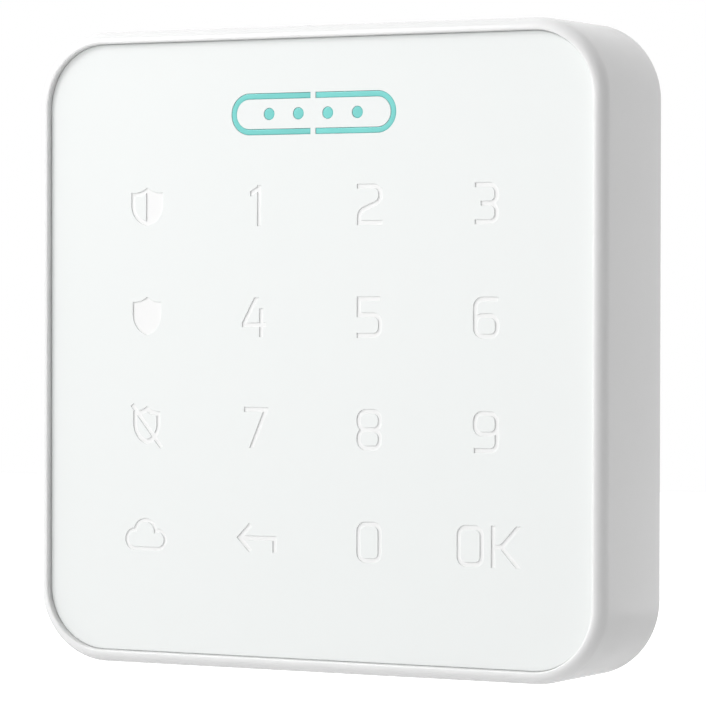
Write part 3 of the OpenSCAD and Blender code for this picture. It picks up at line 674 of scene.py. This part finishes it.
# %% Case tree
def build_case_tree():
    """A section swept round a square path, with four bosses at its corners."""
    tree, given, result = new_tree("swept_case", {
        "Section": ("NodeSocketObject", None),
        "Side": ("NodeSocketFloat", 0.1),
        "Corner Radius": ("NodeSocketFloat", 0.012),
        "Corner Steps": ("NodeSocketInt", 24),
        "Boss Place": ("NodeSocketFloat", 0.04),
        "Boss Radius": ("NodeSocketFloat", 0.0028),
        "Boss Level": ("NodeSocketFloat", 0.0044),
        "Boss Height": ("NodeSocketFloat", 0.013),
        "Finish": ("NodeSocketMaterial", None),
    })
    side = given.outputs["Side"]
    square = geo_node(tree, "GeometryNodeCurvePrimitiveQuadrilateral", {"Width": side, "Height": side})
    path = geo_node(
        tree,
        "GeometryNodeFilletCurve",
        {"Curve": square.outputs[0], "Count": given.outputs["Corner Steps"],
         "Radius": given.outputs["Corner Radius"]},
        mode="POLY",
    )
    level_path = geo_node(tree, "GeometryNodeSetCurveNormal", {"Curve": path.outputs[0]}, mode="Z_UP")
    section = geo_node(tree, "GeometryNodeObjectInfo", {"Object": given.outputs["Section"]})
    wall = geo_node(
        tree,
        "GeometryNodeCurveToMesh",
        {"Curve": level_path.outputs[0], "Profile Curve": section.outputs["Geometry"]},
    )
    spread_out = geo_node(tree, "ShaderNodeMath", operation="MULTIPLY")
    tree.links.new(given.outputs["Boss Place"], spread_out.inputs[0])
    spread_out.inputs[1].default_value = 2.0
    grid = geo_node(
        tree,
        "GeometryNodeMeshGrid",
        {"Size X": spread_out.outputs[0], "Size Y": spread_out.outputs[0], "Vertices X": 2, "Vertices Y": 2},
    )
    boss = geo_node(
        tree,
        "GeometryNodeMeshCylinder",
        {"Vertices": 32, "Radius": given.outputs["Boss Radius"], "Depth": given.outputs["Boss Height"]},
    )
    half_up = geo_node(tree, "ShaderNodeMath", operation="MULTIPLY_ADD")
    tree.links.new(given.outputs["Boss Height"], half_up.inputs[0])
    half_up.inputs[1].default_value = 0.5
    tree.links.new(given.outputs["Boss Level"], half_up.inputs[2])
    lift = geo_node(tree, "ShaderNodeCombineXYZ", {"Z": half_up.outputs[0]})
    lifted = geo_node(
        tree, "GeometryNodeTransform", {"Geometry": boss.outputs["Mesh"], "Translation": lift.outputs[0]}
    )
    bosses = geo_node(
        tree, "GeometryNodeInstanceOnPoints", {"Points": grid.outputs["Mesh"], "Instance": lifted.outputs[0]}
    )
    both = geo_node(tree, "GeometryNodeJoinGeometry")
    tree.links.new(wall.outputs[0], both.inputs[0])
    tree.links.new(bosses.outputs[0], both.inputs[0])
    upright = geo_node(
        tree, "GeometryNodeTransform", {"Geometry": both.outputs[0], "Rotation": (math.pi / 2, 0, 0)}
    )
    return finish_tree(tree, given, result, upright.outputs[0])


# %% Case piece
BOSS_INSET = 5.4
BOSS_R = 2.8
BOSS_OVER_COVER = 1.8
BOSS_IN_LEDGE = 0.5
BOSS_AT = CASE_HALF - CASE_WALL - BOSS_INSET
BOSS_BACK = span("rear_cover")["level"][0] + BOSS_OVER_COVER

# The tree lays x of the section along the outward side and y towards the wall.
section_curve = profile_curve("case_section", [(-x, -y) for x, y in case_section], True)
case_piece = run_tree("case_shell", build_case_tree(), {
    "Section": section_curve,
    "Side": 2 * CASE_HALF * MM,
    "Corner Radius": CASE_CORNER_R * MM,
    "Corner Steps": 24,
    "Boss Place": BOSS_AT * MM,
    "Boss Radius": BOSS_R * MM,
    "Boss Level": BOSS_BACK * MM,
    "Boss Height": (LEDGE_BACK + BOSS_IN_LEDGE - BOSS_BACK) * MM,
    "Finish": case_white,
})
bpy.data.objects.remove(section_curve)
tidy_piece(case_piece)
low = [min(v.co[i] for v in case_piece.data.vertices) / MM for i in range(3)]
high = [max(v.co[i] for v in case_piece.data.vertices) / MM for i in range(3)]
print("case shell from", [round(v, 2) for v in low], "to", [round(v, 2) for v in high])
ride_for(case_piece, "keypad", "case_white", "front_case")

# %% [markdown]
# ## Touch panel
#
# The panel is a slab with a rounded front edge. The key signs are engraved in it, and on a moulded part the
# edge of an engraving is never razor sharp: it turns over with a small radius, and that radius is what makes
# a thin line of light along each stroke. The outlines of the signs come from the engineering model. Each is
# made into a cutter whose walls flare at the mouth, and one boolean takes all the signs out of the slab. A
# second one cuts the slots that the status light stands in.

# %% Regions of a node at one level
OUTLINE_MERGE = 0.08
POINT_MERGE = 0.001
LOOKS_FORWARD = -0.999
LOOKS_NEARLY_FORWARD = -0.99
MITRE_LIMIT = 0.35


def flat_region(node, low_level, high_level):
    """The faces of a node that look forward between two levels, as a merged copy."""
    source = nodes[node].data
    bm = bmesh.new()
    bm.from_mesh(source)
    bmesh.ops.remove_doubles(bm, verts=bm.verts, dist=POINT_MERGE * MM)
    bm.normal_update()
    others = [
        face for face in bm.faces
        if face.normal.y > LOOKS_FORWARD
        or not low_level * MM < -face.calc_center_median().y < high_level * MM
    ]
    bmesh.ops.delete(bm, geom=others, context="FACES")
    bmesh.ops.remove_doubles(bm, verts=bm.verts, dist=OUTLINE_MERGE * MM)
    bmesh.ops.dissolve_degenerate(bm, edges=bm.edges, dist=POINT_MERGE * MM)
    return bm


def outward_at(vertex):
    """Mitred direction away from a flat region at one of its border vertices."""
    normals = []
    for edge in vertex.link_edges:
        if len(edge.link_faces) == 1:
            along = (edge.verts[1].co - edge.verts[0].co).normalized()
            side = along.cross(Vector((0, 1, 0)))
            inside = edge.link_faces[0].calc_center_median() - edge.verts[0].co
            normals.append(-side if side.dot(inside) > 0 else side)
    if len(normals) != 2:
        return Vector((0, 0, 0))
    both = normals[0] + normals[1]
    return both / max(1.0 + normals[0].dot(normals[1]), MITRE_LIMIT)


def loft_region(region, stations):
    """A closed solid: copies of a flat region's border at (level, grown) stations, and a cap at each end."""
    solid = bmesh.new()
    growth = {vertex: outward_at(vertex) for vertex in region.verts}
    border = {vertex for edge in region.edges if len(edge.link_faces) == 1 for vertex in edge.verts}
    rings = []
    for index, (level, grown) in enumerate(stations):
        capped = index in (0, len(stations) - 1)
        ring = {}
        for vertex in region.verts:
            if capped or vertex in border:
                at = vertex.co + growth[vertex] * grown * MM
                ring[vertex] = solid.verts.new((at.x, -level * MM, at.z))
        rings.append(ring)
    for ring in (rings[0], rings[-1]):
        for face in region.faces:
            solid.faces.new([ring[vertex] for vertex in face.verts])
    for near, far in zip(rings, rings[1:]):
        for edge in region.edges:
            if len(edge.link_faces) == 1:
                a, b = edge.verts
                solid.faces.new((near[a], near[b], far[b], far[a]))
    bmesh.ops.recalc_face_normals(solid, faces=solid.faces)
    return solid


# %% Panel slab and its cutters
PANEL_CORNER_R = CASE_CORNER_R - CASE_WALL - (CASE_HALF - CASE_WALL - PANEL_HALF)
PANEL_EDGE_R = 0.2
PANEL_FIT = 0.08  # grows the panel, which leaves a fine gap to the rim
ENGRAVE = 0.25  # the depth in the engineering model, where the outlines are found
SIGN_DEPTH = 0.18  # the depth cut here
MOUTH_R = 0.07
MOUTH_GROWTH = MOUTH_R * 1.05
MOUTH_RISE = 0.02
SLOT_GAP = 0.04
CUT_PAST = 0.5
FIND_SIGNS = 0.05
FIND_MARKS = 0.01

slab_stations = [(PANEL_BACK, 0.0)] + [
    (PANEL_FRONT - PANEL_EDGE_R + y, PANEL_EDGE_R - x) for x, y in arc((0, 0), PANEL_EDGE_R, 0, 90, 9)
]


def build_slab():
    """The panel before its signs are cut, as a stack of round-cornered squares."""
    bm = bmesh.new()
    rings = []
    for level, inset in slab_stations:
        outline = rounded_square(PANEL_HALF + PANEL_FIT - inset, PANEL_CORNER_R + PANEL_FIT - inset)
        rings.append([bm.verts.new(on_wall(p.x, p.y, level)) for p in outline])
    close_rings(bm, rings)
    return bm


mouth = [(PANEL_FRONT - MOUTH_R + y, MOUTH_R - x) for x, y in arc((0, 0), MOUTH_R, 0, 70, 3)]
above = [(PANEL_FRONT + MOUTH_RISE, MOUTH_GROWTH), (PANEL_FRONT + CUT_PAST, MOUTH_GROWTH)]

signs = flat_region("touch_panel", PANEL_FRONT - ENGRAVE - FIND_SIGNS, PANEL_FRONT - FIND_SIGNS)
marks = flat_region("status_light", LIGHT_FRONT - FIND_MARKS, LIGHT_FRONT + FIND_MARKS)
print(f"signs: {len(signs.faces)} faces, status marks: {len(marks.faces)} faces")

sign_stations = [(PANEL_FRONT - SIGN_DEPTH, 0.0)] + mouth + above
slot_stations = [(PANEL_BACK - CUT_PAST, SLOT_GAP)]
slot_stations += [(level, grown + SLOT_GAP) for level, grown in mouth + above]
sign_cutter = finish_mesh(loft_region(signs, sign_stations), "sign_cutter")
mark_cutter = finish_mesh(loft_region(marks, slot_stations), "mark_cutter")
slab = finish_mesh(build_slab(), "panel_glass")


# %% Cut the panel
def cut(piece, cutter):
    """Takes one solid out of another, exactly."""
    modifier = piece.modifiers.new("cut", "BOOLEAN")
    modifier.operation = "DIFFERENCE"
    modifier.solver = "EXACT"
    modifier.use_self = True
    modifier.object = cutter
    graph = bpy.context.evaluated_depsgraph_get()
    mesh = bpy.data.meshes.new_from_object(piece.evaluated_get(graph))
    piece.modifiers.clear()
    old = piece.data
    piece.data = mesh
    bpy.data.meshes.remove(old)
    bpy.data.objects.remove(cutter)


cut(slab, sign_cutter)
cut(slab, mark_cutter)


PANEL_SHARP = math.radians(35)
LEVEL_ERROR = 0.01


def faces_at(bm, level, facing):
    """The faces at one level whose normal points forward at least as much as facing."""
    return {
        face for face in bm.faces
        if face.normal.y < facing and abs(-face.calc_center_median().y / MM - level) < LEVEL_ERROR
    }


def sort_panel_faces(piece):
    """Gives the engraved floors their own slot, and keeps the flat front flat-shaded at its borders."""
    piece.data.materials.clear()
    bm = bmesh.new()
    bm.from_mesh(piece.data)
    merge_points(bm, SAME_POINT)
    front = faces_at(bm, PANEL_FRONT, LOOKS_FORWARD)
    floors = faces_at(bm, PANEL_FRONT - SIGN_DEPTH, LOOKS_NEARLY_FORWARD)
    for face in bm.faces:
        face.smooth = True
        face.material_index = 1 if face in floors else 0
    for edge in bm.edges:
        linked = edge.link_faces
        if len(linked) == 2:
            at_front = (linked[0] in front) != (linked[1] in front)
            edge.smooth = not at_front and edge.calc_face_angle(0.0) < PANEL_SHARP
    open_edges = count_open_edges(bm)
    bm.to_mesh(piece.data)
    bm.free()
    print(f"{piece.name}: {open_edges} open edges, {len(floors)} engraved floor faces")


sort_panel_faces(slab)
wear(slab, panel_gloss, legend_white)
ride_for(slab, "keypad", "panel_gloss", "touch_panel")

# %% [markdown]
# ## Status light
#
# Clear bars stand in the slots of the panel and glow turquoise from the lamps behind. Their front edges are
# broken with a small round, so each bar shows a paler border where it catches the light. One plate behind
# the panel joins them, as the bars are moulded with it.

# %% Status light piece
MARK_SUNK = 0.06
MARK_TOP = PANEL_FRONT - MARK_SUNK
MARK_BREAK = 0.12
BASE_CORNER_R = 0.4
BASE_T = 0.4
mark_stations = [(LIGHT_BACK + BASE_T / 2, 0.0)] + [
    (MARK_TOP - MARK_BREAK + y, x - MARK_BREAK) for x, y in arc((0, 0), MARK_BREAK, 0, 90, 3)
]


def add_base_plate(bm):
    """The plate behind the panel that joins the bars."""
    half_x = light["x"][1] - BASE_CORNER_R
    half_z = (light["z"][1] - light["z"][0]) / 2 - BASE_CORNER_R
    middle_z = (light["z"][1] + light["z"][0]) / 2
    rings = []
    for level in (LIGHT_BACK, LIGHT_BACK + BASE_T):
        ring = []
        for side_x, side_z, start in ((1, 1, 0), (-1, 1, 90), (-1, -1, 180), (1, -1, 270)):
            centre = (side_x * half_x, middle_z + side_z * half_z)
            corner = arc(centre, BASE_CORNER_R, start, start + 90, 4)
            ring += [bm.verts.new(on_wall(x, z, level)) for x, z in corner]
        rings.append(ring)
    close_rings(bm, rings)


light_mesh = loft_region(marks, mark_stations)
add_base_plate(light_mesh)
light_piece = finish_mesh(light_mesh, "status_bars", 50)
signs.free()
marks.free()


def build_status_teal():
    """Lit plastic: turquoise, with a glow that changes slowly over the bars."""
    material = plastic("status_teal", (0.155, 0.565, 0.535), (0.18, 0.59, 0.56), (0.16, 0.26), 6000.0, 0.1)
    tree = material.node_tree
    shader = tree.nodes["Principled BSDF"]
    patches = noise_node(tree, object_coordinates(tree), 260.0, 3.0, 0.55)
    glow = spread(tree, patches, 0.04, 0.10)
    shader.inputs["Emission Color"].default_value = (0.2, 0.75, 0.68, 1)
    tree.links.new(glow, shader.inputs["Emission Strength"])
    return material


status_teal = build_status_teal()
wear(light_piece, status_teal)
ride_for(light_piece, "keypad", "status_teal", "status_light")

# %% [markdown]
# ## Battery cells
#
# Four dry cells lie side by side, each turned end for end to its neighbour. A cell is one profile turned
# about its axis: a crimped negative end, the printed sleeve that is rolled over both shoulders, and the
# positive button. The tree gives the profile as a radius that changes along a straight line, and puts one
# copy on each of four points.

# %% Cell sizes
cells = span("battery_cells")
CELL_COUNT = 4
CELL_R = (cells["level"][1] - cells["level"][0]) / 2
CELL_LEVEL = (cells["level"][1] + cells["level"][0]) / 2
CELL_FIRST_ROW = cells["z"][0] + CELL_R
CELL_PITCH = (cells["z"][1] - CELL_R - CELL_FIRST_ROW) / (CELL_COUNT - 1)
CELL_LENGTH = 44.5
CELL_END = cells["x"][1]
CELL_START = CELL_END - CELL_LENGTH
RING_FROM = CELL_LENGTH - 8.5
SLEEVE_FROM = 0.25
SLEEVE_TO = CELL_LENGTH - 0.9

# Along the cell from its negative end, and the radius there, in millimetres.
cell_profile = [
    (0.0, 0.0), (0.0, 3.4), (0.2, 3.8), (0.2, CELL_R - 0.95), (SLEEVE_FROM, CELL_R - 0.9),
    (0.08, CELL_R - 0.7), (0.2, CELL_R - 0.3), (0.6, CELL_R), (RING_FROM, CELL_R),
    (CELL_LENGTH - 1.4, CELL_R), (CELL_LENGTH - 1.0, CELL_R - 0.3), (CELL_LENGTH - 0.85, CELL_R - 0.7),
    (SLEEVE_TO, CELL_R - 0.95), (CELL_LENGTH - 1.0, CELL_R - 1.0), (CELL_LENGTH - 1.0, 2.1),
    (CELL_LENGTH - 0.85, 1.9), (CELL_LENGTH - 0.12, 1.9), (CELL_LENGTH, 1.75), (CELL_LENGTH, 0.0),
]
print(f"cell {2 * CELL_R:.1f} x {CELL_LENGTH:.1f} mm, rows {CELL_PITCH:.2f} mm apart")


# %% Rows of copies
ROW_INPUTS = {
    "Start": ("NodeSocketVector", (0, 0, 0)),
    "Count": ("NodeSocketInt", 4),
    "Pitch": ("NodeSocketFloat", 0.0112),
    "Lowest": ("NodeSocketVector", (0, 0, 0)),
    "Finish": ("NodeSocketMaterial", None),
}


def alternate_rows(tree, given, upright):
    """Lays an upright piece along X and copies it to a column of rows, every second one turned round."""
    laid = geo_node(
        tree,
        "GeometryNodeTransform",
        {"Geometry": upright, "Rotation": (0, math.pi / 2, 0), "Translation": given.outputs["Start"]},
    )
    step = geo_node(tree, "ShaderNodeCombineXYZ", {"Z": given.outputs["Pitch"]})
    points = geo_node(
        tree,
        "GeometryNodeMeshLine",
        {"Count": given.outputs["Count"], "Start Location": given.outputs["Lowest"],
         "Offset": step.outputs[0]},
    )
    index = geo_node(tree, "GeometryNodeInputIndex")
    odd = geo_node(tree, "ShaderNodeMath", {0: index.outputs[0], 1: 2.0}, operation="MODULO")
    turn = geo_node(tree, "ShaderNodeMath", {0: odd.outputs[0], 1: math.pi}, operation="MULTIPLY")
    about = geo_node(tree, "ShaderNodeCombineXYZ", {"Y": turn.outputs[0]})
    copies = geo_node(
        tree,
        "GeometryNodeInstanceOnPoints",
        {"Points": points.outputs[0], "Instance": laid.outputs[0], "Rotation": about.outputs[0]},
    )
    return copies.outputs[0]


# %% Cell tree
def build_cells_tree():
    """A turned profile, copied to the rows."""
    tree, given, result = new_tree("turned_cells", {"Profile": ("NodeSocketObject", None), **ROW_INPUTS})
    outline = geo_node(tree, "GeometryNodeObjectInfo", {"Object": given.outputs["Profile"]})
    circle = geo_node(tree, "GeometryNodeCurvePrimitiveCircle", {"Resolution": 64, "Radius": 0.001 * MM})
    turned = geo_node(
        tree,
        "GeometryNodeCurveToMesh",
        {"Curve": circle.outputs["Curve"], "Profile Curve": outline.outputs["Geometry"]},
    )
    return finish_tree(tree, given, result, alternate_rows(tree, given, turned.outputs[0]))


# %% Contact spring tree
def build_springs_tree():
    """A conical coil of round wire, copied to the same rows as the cells."""
    tree, given, result = new_tree("contact_coils", {
        "Turns": ("NodeSocketFloat", 3.0),
        "Wide Radius": ("NodeSocketFloat", 0.0034),
        "Narrow Radius": ("NodeSocketFloat", 0.002),
        "Reach": ("NodeSocketFloat", 0.003),
        "Wire Radius": ("NodeSocketFloat", 0.0003),
        **ROW_INPUTS,
    })
    coil = geo_node(
        tree,
        "GeometryNodeCurveSpiral",
        {"Resolution": 40, "Rotations": given.outputs["Turns"], "Start Radius": given.outputs["Wide Radius"],
         "End Radius": given.outputs["Narrow Radius"], "Height": given.outputs["Reach"]},
    )
    wire = geo_node(
        tree, "GeometryNodeCurvePrimitiveCircle", {"Resolution": 14, "Radius": given.outputs["Wire Radius"]}
    )
    swept = geo_node(
        tree,
        "GeometryNodeCurveToMesh",
        {"Curve": coil.outputs[0], "Profile Curve": wire.outputs["Curve"], "Fill Caps": True},
    )
    return finish_tree(tree, given, result, alternate_rows(tree, given, swept.outputs[0]))


# %% [markdown]
# ## Small part finishes
#
# The parts inside each have a finish of their own: solder mask, moulded black plastic, plated metal, a
# printed sleeve. Metal parts show rolling or drawing lines, so their noise is stretched along one axis.

# %% Metals and plastics
def metal_finish(name, low, high, gloss, stretch=(1, 1, 1), lines=900.0):
    """A formed metal surface with drawing lines along the axis that stretch makes long."""
    material = plastic(name, low, high, gloss, 12000.0, 0.1, metal=1.0)
    tree = material.node_tree
    shader = tree.nodes["Principled BSDF"]
    drawn = noise_node(tree, object_coordinates(tree, stretch=stretch), lines, 4.0, 0.6)
    worn = math_node(tree, "ADD", spread(tree, drawn, gloss[0], gloss[1]), 0.02)
    tree.links.new(worn, shader.inputs["Roughness"])
    return material


def board_finish(name):
    """Green solder mask over copper: paler where a track runs beneath, from a grid of narrow bands."""
    material = plastic(name, (0.02, 0.10, 0.045), (0.03, 0.14, 0.06), (0.25, 0.4), 5000.0, 0.15)
    tree = material.node_tree
    shader = tree.nodes["Principled BSDF"]
    where = object_coordinates(tree)
    grid_lines = tree.nodes.new("ShaderNodeTexVoronoi")
    grid_lines.distance = "CHEBYCHEV"
    grid_lines.feature = "DISTANCE_TO_EDGE"
    grid_lines.inputs["Scale"].default_value = 320.0
    tree.links.new(where, grid_lines.inputs["Vector"])
    track = spread(tree, grid_lines.outputs["Distance"], 1.0, 0.0, 0.04, 0.06)
    patches = spread(tree, noise_node(tree, where, 90.0), 0.0, 0.8, 0.45, 0.5)
    mask = math_node(tree, "MULTIPLY", track, patches)
    base = shader.inputs["Base Color"].links[0].from_socket
    tree.links.new(blend_colours(tree, mask, base, (0.06, 0.24, 0.10)), shader.inputs["Base Color"])
    return material


def led_finish(name, colour, strength):
    """A lamp's clear lens over its phosphor."""
    material = plastic(name, colour, colour, (0.15, 0.25), 9000.0, 0.05, coat=0.4)
    shader = material.node_tree.nodes["Principled BSDF"]
    shader.inputs["Emission Color"].default_value = (*colour, 1)
    shader.inputs["Emission Strength"].default_value = strength
    return material


finishes = {
    "case_white": case_white,
    "bracket_white": bracket_white,
    "rear_white": rear_white,
    "frame_white": frame_white,
    "panel_gloss": panel_gloss,
    "status_teal": status_teal,
    "adhesive_tape": plastic(
        "adhesive_tape", (0.80, 0.80, 0.79), (0.86, 0.86, 0.85), (0.6, 0.75), 2500.0, 0.5
    ),
    "diffuser": plastic("diffuser", (0.86, 0.87, 0.86), (0.9, 0.9, 0.89), (0.3, 0.42), 8000.0, 0.1),
    "board_green": board_finish("board_green"),
    "led_white": led_finish("led_white", (0.85, 0.83, 0.62), 0.0),
    "led_teal": led_finish("led_teal", (0.2, 0.75, 0.68), 0.6),
    "black_plastic": plastic(
        "black_plastic", (0.018, 0.018, 0.019), (0.03, 0.03, 0.031), (0.35, 0.5), 5000.0, 0.4
    ),
    "chip_black": plastic("chip_black", (0.03, 0.03, 0.03), (0.045, 0.045, 0.045), (0.45, 0.6), 9000.0, 0.5),
    "shield_metal": metal_finish(
        "shield_metal", (0.62, 0.62, 0.6), (0.7, 0.7, 0.68), (0.25, 0.4), (1, 1, 14)
    ),
    "antenna_brass": metal_finish(
        "antenna_brass", (0.72, 0.52, 0.24), (0.8, 0.6, 0.3), (0.22, 0.38), (14, 1, 14)
    ),
    "capacitor_sleeve": plastic("capacitor_sleeve", (0.02, 0.03, 0.06), (0.03, 0.045, 0.09), (0.2, 0.3)),
    "natural_plastic": plastic(
        "natural_plastic", (0.74, 0.72, 0.64), (0.8, 0.78, 0.71), (0.35, 0.5), bump=0.2
    ),
    "spring_steel": metal_finish(
        "spring_steel", (0.55, 0.56, 0.57), (0.66, 0.67, 0.68), (0.18, 0.34), (6, 6, 1)
    ),
    "cell_sleeve": plastic(
        "cell_sleeve", (0.035, 0.10, 0.16), (0.05, 0.13, 0.20), (0.17, 0.26), 7000.0, 0.1, scratches=0.4
    ),
    "nickel_plate": metal_finish(
        "nickel_plate", (0.66, 0.65, 0.62), (0.74, 0.73, 0.7), (0.16, 0.3), (1, 1, 12)
    ),
    "screw_steel": metal_finish(
        "screw_steel", (0.5, 0.51, 0.52), (0.62, 0.63, 0.64), (0.22, 0.38), (5, 1, 5)
    ),
    "label_paper": plastic("label_paper", (0.80, 0.80, 0.785), (0.84, 0.84, 0.82), (0.45, 0.6), 3500.0, 0.35),
}
print("finishes:", sorted(finishes))

# %% Cells piece
# The tree turns the profile round: its x is the radius and its y runs against the axis.
cell_curve = profile_curve("cell_profile", [(radius, -along) for along, radius in cell_profile], False)
CELL_MERGE = 0.003
NICKEL_INSET = 1.0
row_values = {
    "Count": CELL_COUNT,
    "Pitch": CELL_PITCH * MM,
    "Lowest": (0, -CELL_LEVEL * MM, CELL_FIRST_ROW * MM),
}
cells_piece = run_tree("battery_set", build_cells_tree(), {
    "Profile": cell_curve,
    "Start": (CELL_START * MM, 0, 0),
    "Finish": finishes["cell_sleeve"],
    **row_values,
})
bpy.data.objects.remove(cell_curve)
tidy_piece(cells_piece, merge=CELL_MERGE)
cell_ring = plastic("cell_ring", (0.50, 0.36, 0.16), (0.58, 0.42, 0.2), (0.2, 0.3), 7000.0, 0.1, metal=0.8)
cells_piece.data.materials.clear()
for face in cells_piece.data.polygons:
    x, level, z = face.center.x / MM, -face.center.y / MM, face.center.z / MM
    row = round((z - CELL_FIRST_ROW) / CELL_PITCH)
    along = x * (1 if row % 2 == 0 else -1) - CELL_START
    off_axis = math.hypot(z - CELL_FIRST_ROW - row * CELL_PITCH, level - CELL_LEVEL)
    if off_axis < CELL_R - NICKEL_INSET:
        face.material_index = 1
    elif along > RING_FROM:
        face.material_index = 2
wear(cells_piece, finishes["cell_sleeve"], finishes["nickel_plate"], cell_ring)
ride_for(cells_piece, "keypad", "cell_sleeve", "battery_cells")

# %% Contact springs piece
WIRE_R = 0.3
springs = span("contact_springs")
SPRING_TURNS = 3.0
SPRING_WIDE_R = 3.4
SPRING_NARROW_R = 2.0
SPRING_GAP = 0.02
SPRING_START = springs["x"][0] + WIRE_R
SPRING_REACH = CELL_START - 2 * WIRE_R - springs["x"][0] - SPRING_GAP
springs_piece = run_tree("contact_coil_set", build_springs_tree(), {
    "Turns": SPRING_TURNS,
    "Wide Radius": SPRING_WIDE_R * MM,
    "Narrow Radius": SPRING_NARROW_R * MM,
    "Reach": SPRING_REACH * MM,
    "Wire Radius": WIRE_R * MM,
    "Start": (SPRING_START * MM, 0, 0),
    "Finish": finishes["spring_steel"],
    **row_values,
})
tidy_piece(springs_piece, sharp_angle=50)
springs_piece.data.materials.clear()
wear(springs_piece, finishes["spring_steel"])
ride_for(springs_piece, "keypad", "spring_steel", "contact_springs")

# %% [markdown]
# ## The other pieces
#
# The rest keep the engineering model's shape, and take the finish that the record names for each.

# %% Finishes by slot
worn = 0
for part in frame["record"]["subparts"]:
    node = nodes[part["node"]]
    if not node.hide_render:
        wear(node, finishes[part["material_slot"]])
        worn += 1
print(worn, "engineering nodes finished")
